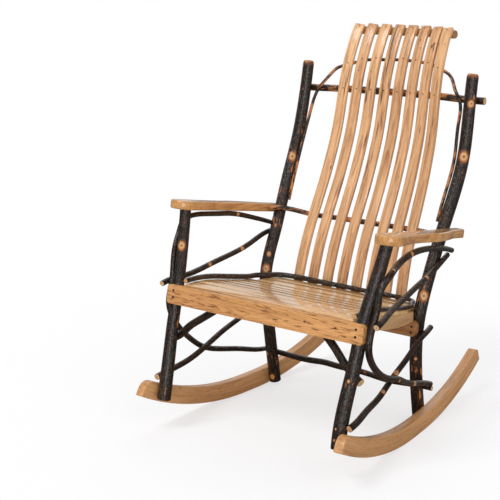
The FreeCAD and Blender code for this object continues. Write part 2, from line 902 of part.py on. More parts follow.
lower_rail = Pole(
    [lower_right - lower_stub, lower_right] + lower_points + [lower_left],
    "lower_rail_radius",
    (0.9, 1.0, 0.95),
)
keep("lower_back_rail", round_pole("lower_back_rail", lower_rail, 26))

# Back hoop
# A long sapling bent into an arch: it stands beside the rear posts and crosses behind the
# slats above the upper rail. Two nails hold it to the upper rail.

HOOP_SIDE_SHARES = (
    (0.683, 0.222, 0.5909),
    (0.688, 0.272, 0.6818),
    (0.668, 0.304, 0.7636),
)
HOOP_ARCH_SHARES = ((0.585, 0.846, 1.3), (0.552, 0.863, 0.6), (0.507, 0.882, 0))
HOOP_NAIL_SHARE = 0.385


def hoop_points(side):
    """One side of the hoop, from its foot beside the post up to the outer slat."""
    name = "left" if side > 0 else "right"
    post = rear_posts[name]
    foot_height = lower_right.z + lower_radius + size("hoop_radius") * 2
    foot = beside(post, foot_height, Vector(-side, 0, 0), size("hoop_radius"))
    points = [foot] + mirrored(HOOP_SIDE_SHARES, side)
    nail_spot = upper_rail.point(0.5 + side * HOOP_NAIL_SHARE)
    before = size("hoop_radius") + upper_radius + size("hoop_clearance")
    nail_spot = nail_spot - Vector(0, before, 0)
    points.append(nail_spot)
    for x_share, z_share, forward_share in HOOP_ARCH_SHARES:
        x = size("half_width") * x_share * side
        spot = behind_slats(x, size("chair_height") * z_share, size("hoop_radius"))
        points.append(spot - Vector(0, size("hoop_radius") * forward_share, 0))
    return points


hoop_top = []
for index, share in enumerate(HOOP_CROSS_HEIGHT_SHARES):
    height = size("chair_height") * share
    hoop_top.append(behind_slats(slat_x(index, height), height, size("hoop_radius")))
hoop = Pole(hoop_points(-1) + hoop_top + hoop_points(1)[::-1], "hoop_radius")
hoop_nails = []
hoop_nail_holes = []
for side in (-1, 1):
    spot = upper_rail.point(0.5 + side * HOOP_NAIL_SHARE)
    before = upper_radius + 2 * size("hoop_radius") + size("hoop_clearance")
    spot = spot - Vector(0, before, 0)
    reach = 2 * size("hoop_radius") + upper_radius
    hoop_nails.append(screw(spot, Vector(0, 1, 0), reach))
    hoop_nail_holes.append(drill(spot, Vector(0, 1, 0), reach))
drilled(
    "back_hoop", round_pole("back_hoop_pole", hoop, 34), slat_drills["hoop"] + hoop_nail_holes
)
drilled(
    "upper_back_rail",
    round_pole("upper_back_rail_pole", upper_rail, 14),
    slat_drills["upper_rail"] + hoop_nail_holes,
)
group("hoop_nails", hoop_nails)

# Arms
# Sawn planks, broad over the front posts and narrow where they pass outside the rear posts.

ARM_PASS_SHARE = 0.18
arm_pass_underside = arm_underside("left", size("frame_depth") * ARM_PASS_SHARE)
arm_pass_height = arm_pass_underside + size("arm_thickness")
arm_pass = rear_posts["left"].along_at_height(arm_pass_height)
arm_inner_x = (
    rear_posts["left"].point(arm_pass).x + rear_posts["left"].radius(arm_pass) + size("seat_gap")
)
arm_front_y = front_top.y - size("arm_overhang")


def arm_outline(name, side):
    """The arm seen from above, with its front to -Y."""
    inner = arm_inner_x
    nose = inner + size("arm_nose_width")
    waist = inner + size("arm_waist_width")
    swell = inner + size("arm_swell_width")
    tab = inner + size("arm_tab_width")
    length = size("arm_length")
    start = arm_front_y / math.cos(math.atan(arm_slope(name)))
    bow_in = size("arm_overhang") / 6

    def spot(x, share):
        return Vector(side * x, start + length * share, 0)

    edges = [
        Part.Arc(spot(inner, 0.070), spot(blend(inner, nose, 0.46), 0.0), spot(nose, 0.078)),
        Part.Arc(spot(nose, 0.078), spot(waist, 0.32), spot(swell, 0.545)),
        Part.Arc(spot(swell, 0.545), spot(blend(swell, tab, 0.44), 0.73), spot(tab, 0.86)),
        Part.LineSegment(spot(tab, 0.86), spot(tab, 0.985)),
        Part.LineSegment(spot(tab, 0.985), spot(blend(inner, tab, 0.9), 1.0)),
        Part.LineSegment(spot(blend(inner, tab, 0.9), 1.0), spot(inner, 1.0)),
        Part.LineSegment(spot(inner, 1.0), spot(inner, 0.76)),
        Part.Arc(spot(inner, 0.76), spot(inner + bow_in, 0.42), spot(inner, 0.070)),
    ]
    return edges


for name, side in SIDES:
    label = "arm_" + name
    arm = outline_body(label, "XY_Plane", arm_outline(name, side), "arm_thickness")
    fall_angle = math.degrees(math.atan(arm_slope(name)))
    arm.Placement = Placement(
        Vector(0, 0, arm_underside(name, 0)), Rotation(Vector(1, 0, 0), -fall_angle)
    )
    keep(label, arm)

# Side bows
# A sapling on each side: it starts outside the rear post under the arm, runs forward, turns
# down past the front post and comes back to the rear post near the rocker.

left_bow = size("bow_radius")
slim_bow = size("slim_bow_radius")


def outside(posts, name, side, height, radius):
    return beside(posts[name], height, Vector(side, 0, 0), radius)


BOW_RADIUS_SHARES = (0.82, 0.95, 1.0, 1.0, 0.95, 0.85)
SLIM_BOW_RADIUS_SHARES = (0.80, 0.92, 0.85, 1.0, 1.0, 0.9)
LEFT_BOW_UPPER_SHARES = (
    (0.797, 0.191, 0.4536),
    (0.804, 0.139, 0.4673),
    (0.812, 0.065, 0.4809),
    (0.828, 0.001, 0.4909),
    (0.841, -0.065, 0.4964),
    (0.854, -0.129, 0.4955),
    (0.880, -0.205, 0.4860),
)
LEFT_BOW_LOWER_SHARES = (
    (0.867, -0.317, 0.2773),
    (0.854, -0.269, 0.2391),
    (0.842, -0.194, 0.2045),
    (0.838, -0.151, 0.1927),
    (0.806, -0.086, 0.1673),
    (0.777, -0.018, 0.1436),
)
RIGHT_BOW_UPPER_SHARES = (
    (0.790, 0.194, 0.4464),
    (0.806, 0.134, 0.4655),
    (0.814, 0.047, 0.4900),
    (0.836, -0.034, 0.5100),
    (0.851, -0.099, 0.5190),
    (0.865, -0.161, 0.5270),
    (0.884, -0.209, 0.5300),
    (0.912, -0.240, 0.5218),
)
RIGHT_BOW_LOWER_SHARES = (
    (0.865, -0.312, 0.2636),
    (0.850, -0.242, 0.2000),
    (0.838, -0.187, 0.1675),
    (0.804, -0.108, 0.1455),
    (0.775, -0.028, 0.1291),
)
left_bow_points = (
    mirrored(LEFT_BOW_UPPER_SHARES, 1)
    + [
        outside(front_posts, "left", 1, size("chair_height") * 0.475, left_bow)
        + place(0.004, 0, 0),
        place(0.905, -0.3005, 0.4536),
        outside(front_posts, "left", 1, size("chair_height") * 0.4165, left_bow)
        + place(0.002, -0.006, 0),
        outside(front_posts, "left", 1, size("chair_height") * 0.362, left_bow)
        + place(0, -0.002, 0),
        place(0.878, -0.340, 0.3136),
    ]
    + mirrored(LEFT_BOW_LOWER_SHARES, 1)
    + [
        outside(rear_posts, "left", 1, size("chair_height") * 0.115, left_bow),
        outside(rear_posts, "left", 1, size("chair_height") * 0.110, left_bow)
        + place(0, 0.034, -0.0063),
    ]
)
right_bow_points = (
    mirrored(RIGHT_BOW_UPPER_SHARES, -1)
    + [
        outside(front_posts, "right", -1, size("chair_height") * 0.495, slim_bow)
        + place(0, 0.009, 0),
        outside(front_posts, "right", -1, size("chair_height") * 0.474, slim_bow),
        outside(front_posts, "right", -1, size("chair_height") * 0.432, slim_bow)
        + place(0, -0.005, 0),
        outside(front_posts, "right", -1, size("chair_height") * 0.377, slim_bow),
        place(-0.876, -0.335, 0.3182),
    ]
    + mirrored(RIGHT_BOW_LOWER_SHARES, -1)
    + [
        outside(rear_posts, "right", -1, size("chair_height") * 0.109, slim_bow)
        - place(0, 0.030, 0),
        outside(rear_posts, "right", -1, size("chair_height") * 0.104, slim_bow),
        outside(rear_posts, "right", -1, size("chair_height") * 0.1035, slim_bow)
        + place(0, 0.022, -0.003),
    ]
)
bows = {
    "left": Pole(left_bow_points, "bow_radius", BOW_RADIUS_SHARES),
    "right": Pole(right_bow_points, "slim_bow_radius", SLIM_BOW_RADIUS_SHARES),
}
for name in bows:
    label = "side_bow_" + name
    keep(label, round_pole(label, bows[name], 34))

# Arm braces
# Straight saplings that rise from the front bows, outside them, to the rear posts.

ARM_BRACE_LEFT_SHARES = (
    (0.890, -0.226, 0.3870),
    (0.861, -0.140, 0.3950),
    (0.838, -0.054, 0.4060),
    (0.816, 0.032, 0.4155),
)
ARM_BRACE_RIGHT_SHARES = (
    (0.886, -0.244, 0.3755),
    (0.859, -0.138, 0.3873),
    (0.841, -0.066, 0.3964),
    (0.820, 0.012, 0.4082),
    (0.812, 0.044, 0.4155),
)
ARM_BRACE_POST_HEIGHT_SHARE = 0.4365
ARM_BRACE_BOW_HEIGHT_SHARES = (0.3764, 0.3720)
ARM_BRACE_BOW_STRETCH_SHARES = (0.35, 0.60)
brace_radius = size("arm_brace_radius")
arm_brace_routes = zip(
    SIDES, (ARM_BRACE_LEFT_SHARES, ARM_BRACE_RIGHT_SHARES), ARM_BRACE_BOW_HEIGHT_SHARES
)
ARM_BRACE_END_SHARES = {"left": (0.042, 0.008), "right": (0.030, 0.001)}
for (name, side), route_shares, bow_height_share in arm_brace_routes:
    label = "arm_brace_" + name
    post_height = size("chair_height") * ARM_BRACE_POST_HEIGHT_SHARE
    post_spot = outside(rear_posts, name, side, post_height, brace_radius)
    bow_spot = beside(
        bows[name],
        size("chair_height") * bow_height_share,
        Vector(side, 0, 0),
        brace_radius + size("post_clearance") / 2,
        *ARM_BRACE_BOW_STRETCH_SHARES,
    )
    points = [bow_spot + place(side * 0.004, -0.022, -0.0037), bow_spot]
    points += mirrored(route_shares, side)
    end_y_share, end_rise_share = ARM_BRACE_END_SHARES[name]
    points += [post_spot, post_spot + place(-side * 0.012, end_y_share, end_rise_share)]
    keep(label, round_pole(label, Pole(points, "arm_brace_radius", (1.05, 1.0, 0.95)), 12))

# Lower braces
# Saplings from low on the front posts up to the rear posts, outside both.

LOWER_BRACE_LEFT_SHARES = (
    (0.843, -0.356, 0.1450),
    (0.824, -0.308, 0.1509),
    (0.809, -0.237, 0.1609),
    (0.789, -0.156, 0.1836),
    (0.781, -0.097, 0.2018),
    (0.775, -0.032, 0.2236),
    (0.764, 0.030, 0.2455),
)
LOWER_BRACE_RIGHT_SHARES = (
    (0.840, -0.350, 0.1420),
    (0.814, -0.280, 0.1527),
    (0.794, -0.192, 0.1770),
    (0.786, -0.098, 0.2035),
    (0.775, -0.032, 0.2191),
    (0.764, 0.030, 0.2370),
)
LOWER_BRACE_FRONT_HEIGHT_SHARE = 0.1385
LOWER_BRACE_REAR_HEIGHT_SHARES = (0.258, 0.2485)
lower_brace_radius = size("lower_brace_radius")
lower_brace_routes = zip(
    SIDES,
    (LOWER_BRACE_LEFT_SHARES, LOWER_BRACE_RIGHT_SHARES),
    LOWER_BRACE_REAR_HEIGHT_SHARES,
)
for (name, side), route_shares, rear_height_share in lower_brace_routes:
    label = "lower_brace_" + name
    front_height = size("chair_height") * LOWER_BRACE_FRONT_HEIGHT_SHARE
    front_spot = outside(front_posts, name, side, front_height, lower_brace_radius)
    front_spot = front_spot + place(side * 0.003, 0, 0)
    rear_height = size("chair_height") * rear_height_share
    rear_spot = outside(rear_posts, name, side, rear_height, lower_brace_radius)
    points = [front_spot + place(0, -0.008, -0.001)]
    points += mirrored(route_shares, side)
    points += [rear_spot, rear_spot + place(-side * 0.004, 0.034, 0.0085)]
    keep(label, round_pole(label, Pole(points, "lower_brace_radius", (1.15, 1.0, 1.0)), 14))

# Front braces
# Saplings from the back of the apron down and out, behind the front posts.

front_brace_radius = size("front_brace_radius")
FRONT_BRACE_X_SHARES = (0.44, 0.541, 0.610, 0.674)
FRONT_BRACE_LEFT_HEIGHT_SHARES = (0.3382, 0.3127, 0.2900, 0.2664)
FRONT_BRACE_RIGHT_HEIGHT_SHARES = (0.3250, 0.3010, 0.2850, 0.2690)
FRONT_BRACE_DEPTH_SHARES = (0, 0.25, 0.50, 0.75)
FRONT_BRACE_POST_HEIGHT_SHARE = 0.243
for (name, side), height_shares in zip(
    SIDES, (FRONT_BRACE_LEFT_HEIGHT_SHARES, FRONT_BRACE_RIGHT_HEIGHT_SHARES)
):
    label = "front_brace_" + name
    top_height = size("chair_height") * height_shares[0]
    behind_apron = apron_back_y(top_height + front_brace_radius)
    top_y = behind_apron + front_brace_radius + size("seat_gap")
    crossing = beside(
        front_posts[name],
        size("chair_height") * FRONT_BRACE_POST_HEIGHT_SHARE,
        Vector(0, 1, 0),
        front_brace_radius + size("post_clearance") / 2,
    )
    points = []
    for x_share, z_share, depth_share in zip(
        FRONT_BRACE_X_SHARES, height_shares, FRONT_BRACE_DEPTH_SHARES
    ):
        spot = place(side * x_share, 0, z_share)
        spot.y = blend(top_y, crossing.y, depth_share)
        points.append(spot)
    points += [crossing, crossing + place(side * 0.036, -0.003, -0.006)]
    keep(label, round_pole(label, Pole(points, "front_brace_radius"), 8))

# Rear stretcher
# A thin pole across behind the feet of the rear posts.

STRETCHER_SHARES = (
    (-0.353, 0.0900),
    (-0.207, 0.0935),
    (-0.074, 0.0920),
    (0.141, 0.0920),
    (0.369, 0.0860),
)
STRETCHER_END_HEIGHT_SHARE = 0.087
STRETCHER_POST_RADIUS_SHARE = 1.18
stretcher_radius = size("stretcher_radius")
stretcher_ends = {}
for name, side in SIDES:
    stretcher_ends[name] = beside(
        rear_posts[name],
        size("chair_height") * STRETCHER_END_HEIGHT_SHARE,
        Vector(0, 1, 0),
        stretcher_radius * STRETCHER_POST_RADIUS_SHARE,
    )
stretcher_y = stretcher_ends["left"].y
stretcher_points = [
    stretcher_ends["right"] + place(-0.078, 0, 0),
    stretcher_ends["right"],
]
for x_share, z_share in STRETCHER_SHARES:
    spot = place(x_share, 0, z_share)
    spot.y = stretcher_y
    stretcher_points.append(spot)
stretcher_points += [stretcher_ends["left"], stretcher_ends["left"] + place(0.089, 0, 0)]
stretcher = Pole(stretcher_points, "stretcher_radius", (1.1, 1.3, 1.25, 1.1, 0.95))
keep("rear_stretcher", round_pole("rear_stretcher", stretcher, 12))

# Seat edge twig
# A thin sapling nailed along the seat's edge, over the slats' ends and across the back.

TWIG_SIDE_SHARES = (-0.322, -0.275, -0.216, -0.125, -0.059, -0.009, 0.020)
TWIG_CORNER_SHARES = ((0.690, 0.030), (0.655, 0.050), (0.640, 0.074), (0.612, 0.094))
TWIG_BACK_X_SHARES = (0.53, 0.27)
TWIG_RADIUS_SHARES = (1.10, 1.18, 1.15, 0.95, 0.88, 0.95)
twig_radius = size("twig_radius")
twig_back_y = seat_back_y + twig_radius / 3


def on_seat(x, y, radius_share):
    lift = twig_radius * radius_share + size("twig_clearance")
    return Vector(x, y, seat_top(y) + lift)


def twig_side(side, radius_share):
    points = []
    for share in TWIG_SIDE_SHARES:
        y = size("frame_depth") * share
        points.append(on_seat(side * panel_face_x(y), y, radius_share))
    for x_share, y_share in TWIG_CORNER_SHARES:
        x = side * size("half_width") * x_share
        points.append(on_seat(x, size("frame_depth") * y_share, radius_share))
    for share in TWIG_BACK_X_SHARES:
        points.append(on_seat(side * size("half_width") * share, twig_back_y, radius_share))
    return points


right_share = max(TWIG_RADIUS_SHARES[:3])
left_share = max(TWIG_RADIUS_SHARES[3:])
twig_points = twig_side(-1, right_share)
twig_points += [on_seat(0, twig_back_y, (right_share + left_share) / 2)]
twig_points += twig_side(1, left_share)[::-1]
twig = Pole(twig_points, "twig_radius", TWIG_RADIUS_SHARES)
keep("seat_edge_twig", round_pole("seat_edge_twig", twig, 40))

# Every piece is tested before anything is written.

doc.recompute()
for thing in doc.Objects:
    if "Invalid" in thing.State or "Error" in thing.State:
        raise RuntimeError("%s failed: %s" % (thing.Label, thing.State))
for thing in nodes:
    if thing.Shape.isNull() or not thing.Shape.isValid():
        raise RuntimeError("%s has no valid shape" % thing.Label)
    if len(thing.Shape.Solids) == 0:
        raise RuntimeError("%s has no solid" % thing.Label)
for thing in nodes:
    thing.Shape.exportStep("parts/%s.step" % thing.Label)
print("%d nodes" % len(nodes))
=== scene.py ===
import itertools
from math import atan, cos, pi, radians, sin

import bmesh
import bpy
import numpy as np
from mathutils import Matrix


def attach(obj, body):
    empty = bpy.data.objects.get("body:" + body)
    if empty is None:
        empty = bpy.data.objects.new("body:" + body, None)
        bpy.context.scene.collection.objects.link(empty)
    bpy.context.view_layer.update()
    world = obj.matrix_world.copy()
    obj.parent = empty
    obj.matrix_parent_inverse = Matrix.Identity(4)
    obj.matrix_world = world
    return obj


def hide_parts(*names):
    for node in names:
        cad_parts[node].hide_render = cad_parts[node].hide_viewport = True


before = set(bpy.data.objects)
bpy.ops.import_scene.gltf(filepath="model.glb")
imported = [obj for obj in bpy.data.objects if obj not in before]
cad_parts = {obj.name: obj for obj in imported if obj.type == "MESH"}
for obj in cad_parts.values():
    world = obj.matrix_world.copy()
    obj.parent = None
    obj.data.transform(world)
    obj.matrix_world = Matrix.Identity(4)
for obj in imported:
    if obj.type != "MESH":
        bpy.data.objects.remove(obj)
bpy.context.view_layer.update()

# Rockers
# Two oak planks on edge, band-sawn to a curve and rounded over on their edges with sandpaper.
# The lacquer over them is satin, and the growth lines run along the curve from end to end.

sides = (("left", 1), ("right", -1))
rocker_edge_round = 0.0028
rocker_middle_x = 0.29
rocker_contact = 0.014
rocker_half_flat = 0.025
rocker_front_radius = 0.86
rocker_rear_radius = 0.94
rocker_heart = 0.060
rocker_slice = 0.012
rocker_light = (0.74, 0.39, 0.165, 1)
rocker_dark = (0.44, 0.20, 0.070, 1)
oak_pore_colour = (0.12, 0.045, 0.015, 1)
oak_spot_colour = (0.045, 0.017, 0.009, 1)
oak_streak_colour = (0.22, 0.070, 0.018, 1)

# A pattern is how many patches come in a metre across, through and along the wood, and then
# the detail and the roughness of its noise.
oak_wander = ((22, 22, 3.2), 2.0)
oak_drift = ((7, 7, 1.3), 1.0)
oak_board = ((3, 3, 1.4), 1.0)
oak_broad = ((95, 60, 4.0), 3.0, 0.6)
oak_fibre = ((900, 900, 16), 3.0, 0.6)
oak_pores = ((1500, 1500, 60), 1.0)
oak_streaks_across = (150, 90)
oak_streak_noise = (3.0, 0.65)

oak_heart_depth = 0.018
oak_drift_width = 0.05
oak_wander_width = 0.016
oak_line_limits = (0.30, 0.95)
oak_pore_limits = (0.60, 0.72)
oak_streak_limits = (0.52, 0.68)
oak_spot_limits = (0.45, 1.35)
oak_spot_raggedness = 1.4
oak_spot_strength = 0.85
oak_line_strength = 0.34
oak_fibre_strength = 0.75
oak_broad_strength = 1.5
oak_dark_share = 0.18
oak_pore_strengths = (0.25, 0.4)
oak_fibre_roughness = 0.16
oak_line_roughness = 0.05
oak_fibre_height = 0.5
oak_pore_height = 0.6
oak_line_height = 0.25
oak_bump_distance = 0.0004
oak_bump_strength = 0.45
merge_distance = 0.00001
flat_angle = radians(0.4)
sharp_angle = radians(32)
edge_round_segments = 3


class Shade:
    """A socket of a node tree. Sums on it add Math nodes, so a pattern reads as one formula."""

    def __init__(self, tree, socket=None):
        self.tree = tree
        self.socket = socket

    def add(self, kind, settings, sockets, output=0):
        """Adds one node: its settings first, then the values or links of its sockets."""
        node = self.tree.nodes.new(kind)
        for name, value in settings.items():
            setattr(node, name, value)
        for name, value in sockets.items():
            if isinstance(value, Shade):
                self.tree.links.new(value.socket, node.inputs[name])
            else:
                node.inputs[name].default_value = value
        return Shade(self.tree, node.outputs[output])

    def maths(self, operation, *values):
        return self.add("ShaderNodeMath", {"operation": operation}, dict(enumerate(values)))

    def __add__(self, other):
        return self.maths("ADD", self, other)

    def __radd__(self, other):
        return self.maths("ADD", other, self)

    def __sub__(self, other):
        return self.maths("SUBTRACT", self, other)

    def __rsub__(self, other):
        return self.maths("SUBTRACT", other, self)

    def __mul__(self, other):
        return self.maths("MULTIPLY", self, other)

    def __rmul__(self, other):
        return self.maths("MULTIPLY", other, self)

    def __truediv__(self, other):
        return self.maths("DIVIDE", self, other)

    def __pow__(self, other):
        return self.maths("POWER", self, other)

    def between(self, low, high):
        """0 below low, 1 above high, and smooth from one to the other."""
        sockets = {"Value": self, "From Min": low, "From Max": high}
        return self.add("ShaderNodeMapRange", {"interpolation_type": "SMOOTHSTEP"}, sockets)

    def part(self, axis):
        """One part of a vector."""
        return self.add("ShaderNodeSeparateXYZ", {}, {0: self}, axis)

    def noise(self, patches, detail, roughness=0.5):
        """Soft random patches, 0 to 1, so many in a metre along each part of this vector."""
        spread = self.add("ShaderNodeVectorMath", {"operation": "MULTIPLY"}, {0: self, 1: patches})
        sockets = {"Vector": spread, "Scale": 1.0, "Detail": detail, "Roughness": roughness}
        return self.add("ShaderNodeTexNoise", {"noise_dimensions": "3D"}, sockets, "Fac")

    def mixed(self, other, share):
        """This colour turned towards another by a share, which the node holds from 0 to 1."""
        settings = {"data_type": "RGBA"}
        return self.add("ShaderNodeMix", settings, {0: share, 6: self, 7: other}, 2)

    def colour(self, value):
        """A colour of its own in this tree, for mixing."""
        return self.add("ShaderNodeMix", {"data_type": "RGBA"}, {0: 0.0, 6: value, 7: value}, 2)

    def waves(self, often):
        """Even waves, 0 to 1, across this value."""
        turned = self * often
        return self.maths("SINE", turned) * 0.5 + 0.5


def new_material(name):
    """A new material, its node tree and its Principled shader."""
    material = bpy.data.materials.new(name)
    material.use_nodes = True
    tree = material.node_tree
    return material, tree, tree.nodes["Principled BSDF"]


def carried(tree, name, output="Fac"):
    """What a piece's mesh carries under a name, such as its grain."""
    return Shade(tree).add("ShaderNodeAttribute", {"attribute_name": name}, {}, output)


def link(tree, shade, shader, socket):
    tree.links.new(shade.socket, shader.inputs[socket])


def bump(tree, shader, height, distance, strength):
    sockets = {"Height": height, "Distance": distance, "Strength": strength}
    normal = Shade(tree).add("ShaderNodeBump", {}, sockets, "Normal")
    link(tree, normal, shader, "Normal")


def oak_material(
    name, light, dark, rings=130, taper=0.045, wave=1.0, board_share=1.3, gloss=0.32, coat=0.3,
    streaks=0.5, streaks_along=6.0, streak_colour=oak_streak_colour, spots=(),
):
    """Plain-sawn oak under lacquer. The grain vector is across, through and along the plank.

    Rings are growth lines for each metre, which run out of the plank by the taper and sway by
    the wave. A spot is a dark fleck or knot: across, along, half its width, half its length."""
    material, tree, shader = new_material(name)
    grain = carried(tree, "grain", "Vector")
    across, through, along = [grain.part(axis) for axis in range(3)]
    wander = grain.noise(*oak_wander)
    drift = grain.noise(*oak_drift)
    heart = across + (drift - 0.5) * oak_drift_width * wave
    depth = through + oak_heart_depth
    ring = (heart * heart + depth * depth) ** 0.5 + along * taper
    ring = ring + (wander - 0.5) * oak_wander_width * wave
    growth = ring.maths("FRACT", ring * rings)
    line_start, line_end = oak_line_limits
    line = growth.between(line_start, line_end) * (1 - growth.between(line_end, 1.0))
    fibre = grain.noise(*oak_fibre)
    pores = grain.noise(*oak_pores).between(*oak_pore_limits)
    board = grain.noise(*oak_board)
    broad = grain.noise(*oak_broad)
    streak = grain.noise((*oak_streaks_across, streaks_along), *oak_streak_noise)
    streak = streak.between(*oak_streak_limits)
    share = line * oak_line_strength + (fibre - 0.5) * oak_fibre_strength
    share = share + (broad - 0.5) * oak_broad_strength + (board - 0.5) * board_share
    colour = Shade(tree).colour(light).mixed(dark, share + oak_dark_share)
    colour = colour.mixed(streak_colour, streak * streaks)
    pore_strength, pore_line_strength = oak_pore_strengths
    pore_share = pores * (pore_strength + line * pore_line_strength)
    colour = colour.mixed(oak_pore_colour, pore_share)
    ragged = (fibre - 0.5) * oak_spot_raggedness
    mark = None
    for spot_across, spot_along, spot_half_width, spot_half_length in spots:
        aside = (across - spot_across) / spot_half_width
        ahead = (along - spot_along) / spot_half_length
        reach = (aside * aside + ahead * ahead) ** 0.5 + ragged
        fleck = 1 - reach.between(*oak_spot_limits)
        mark = fleck if mark is None else mark.maths("MAXIMUM", mark, fleck)
    if mark is not None:
        colour = colour.mixed(oak_spot_colour, mark * oak_spot_strength)
    link(tree, colour, shader, "Base Color")
    rough = fibre * oak_fibre_roughness + line * oak_line_roughness
    link(tree, rough + (gloss - oak_fibre_roughness / 2), shader, "Roughness")
    height = fibre * oak_fibre_height - pores * oak_pore_height - line * oak_line_height
    bump(tree, shader, height, oak_bump_distance, oak_bump_strength)
    shader.inputs["Coat Weight"].default_value = coat
    shader.inputs["Coat Roughness"].default_value = 0.10
    shader.inputs["Specular IOR Level"].default_value = 0.4
    return material


def new_piece(name, data):
    """An object with this data, linked to the scene."""
    piece = bpy.data.objects.new(name, data)
    bpy.context.scene.collection.objects.link(piece)
    return piece


def settled(piece):
    """The piece with its modifiers made real, so that its mesh is what is seen."""
    depsgraph = bpy.context.evaluated_depsgraph_get()
    mesh = bpy.data.meshes.new_from_object(piece.evaluated_get(depsgraph))
    name = piece.name
    bpy.data.objects.remove(piece)
    mesh.name = name
    return new_piece(name, mesh)


def read(items, name, width=3):
    """What each item of a mesh holds under a name, one row of numbers for each item."""
    numbers = np.empty(len(items) * width)
    items.foreach_get(name, numbers)
    return numbers.reshape(-1, width)


def carry(mesh, name, values):
    """Stores a number or a vector for each point of a mesh under a name."""
    kind, field = ("FLOAT", "value") if values.ndim == 1 else ("FLOAT_VECTOR", "vector")
    attribute = mesh.attributes.new(name, kind, "POINT")
    attribute.data.foreach_set(field, values.astype(np.float32).ravel())


def seat_in_frame(piece, node):
    """Puts a finished piece in the place of its node."""
    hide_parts(node)
    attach(piece, "root")


def sawn(node, edge_round, grain, material, slice_length=0):
    """A plank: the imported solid, its edges rounded and its grain laid by a formula.

    A slice length cuts the faces across the chair's depth, so that a bent grain follows them."""
    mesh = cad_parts[node].data.copy()
    work = bmesh.new()
    work.from_mesh(mesh)
    bmesh.ops.remove_doubles(work, verts=work.verts, dist=merge_distance)
    bmesh.ops.dissolve_limit(
        work, angle_limit=flat_angle, verts=work.verts, edges=work.edges
    )
    if slice_length:
        depths = [vert.co.y for vert in work.verts]
        for step in range(int(min(depths) / slice_length), int(max(depths) / slice_length) + 1):
            every_part = work.verts[:] + work.edges[:] + work.faces[:]
            bmesh.ops.bisect_plane(
                work, geom=every_part, plane_co=(0, step * slice_length, 0), plane_no=(0, 1, 0)
            )
    work.to_mesh(mesh)
    work.free()
    mesh.materials.clear()
    mesh.materials.append(material)
    piece = new_piece(node + "_wood", mesh)
    for face in mesh.polygons:
        face.use_smooth = True
        face.material_index = 0
    edges = piece.modifiers.new("rounded edges", "BEVEL")
    edges.width = edge_round
    edges.segments = edge_round_segments
    edges.limit_method = "ANGLE"
    edges.angle_limit = sharp_angle
    edges.harden_normals = True
    piece = settled(piece)
    places = read(piece.data.vertices, "co")
    carry(piece.data, "grain", np.array([grain(*spot) for spot in places]))
    seat_in_frame(piece, node)


rocker_spots = (
    (0.1131, -0.3958, 0.0030, 0.0035),
    (0.1094, -0.3339, 0.0015, 0.0060),
    (0.1039, -0.2982, 0.0020, 0.0030),
    (0.0936, -0.1817, 0.0018, 0.0030),
    (0.0957, -0.1304, 0.0015, 0.0050),
    (0.1003, 0.1028, 0.0020, 0.0025),
)


def rocker_height_at(y, z):
    """How far a spot of a rocker lies above the arc of its underside."""
    ahead = abs(y - rocker_contact) - rocker_half_flat
    if ahead <= 0:
        return z
    radius = rocker_front_radius if y < rocker_contact else rocker_rear_radius
    return radius - (ahead * ahead + (radius - z) ** 2) ** 0.5


rocker_wood = oak_material(
    "rocker_oak", rocker_light, rocker_dark, rings=260, taper=0.006, gloss=0.42, streaks=0.25,
    wave=0.25, spots=rocker_spots,
)
for name, side in sides:
    sawn(
        "rocker_" + name,
        rocker_edge_round,
        lambda x, y, z: (
            rocker_height_at(y, z) + rocker_heart, (x - side * rocker_middle_x) * side, y
        ),
        rocker_wood,
        rocker_slice,
    )

# Posts
# Four bent hickory saplings with the bark on, their branch stubs cut back to the trunk. The
# lacquer over the dark, ridged bark shines; knots and sanded spots show tan wood.

half_width = 0.377
frame_depth = 0.930
chair_height = 1.100
seat_gap = 0.0002
post_clearance = 0.001
post_into_arm = 0.004
arm_front_shares = {"left": 0.5473, "right": 0.5523}
height_halvings = 40
front_post_radius = 0.017
rear_post_radius = 0.0185
peeled_length = 0.010
front_post_shares = (
    (0.770, -0.416, 0.0836),
    (0.774, -0.389, 0.1818),
    (0.797, -0.350, 0.2909),
    (0.805, -0.324, 0.3636),
    (0.835, -0.287, 0.4545),
    (0.871, -0.251, 0.5470),
)
rear_post_shares = (
    (0.675, 0.112, 0.0109),
    (0.675, 0.085, 0.1364),
    (0.689, 0.071, 0.2455),
    (0.706, 0.072, 0.3045),
    (0.718, 0.092, 0.3636),
    (0.724, 0.137, 0.4409),
    (0.735, 0.177, 0.5091),
    (0.751, 0.226, 0.5909),
    (0.755, 0.276, 0.6818),
    (0.744, 0.309, 0.7909),
    (0.738, 0.332, 0.8955),
)
rear_post_top_shares = {"left": 0.8915, "right": 0.8985}
front_radius_shares = {"left": (1.18, 1.10, 1.02), "right": (1.18, 1.0, 0.96)}
rear_radius_shares = (1.02, 1.0, 1.0, 0.94)


def place(x_share, y_share, z_share):
    """A point from shares of the half width, the frame's depth and the chair's height."""
    return np.array((half_width * x_share, frame_depth * y_share, chair_height * z_share))


def mirrored(shares, side):
    """Points from shares, on the chair's left for side 1 and on its right for side -1."""
    return [place(x * side, y, z) for x, y, z in shares]


def unit(vector):
    return vector / np.linalg.norm(vector)


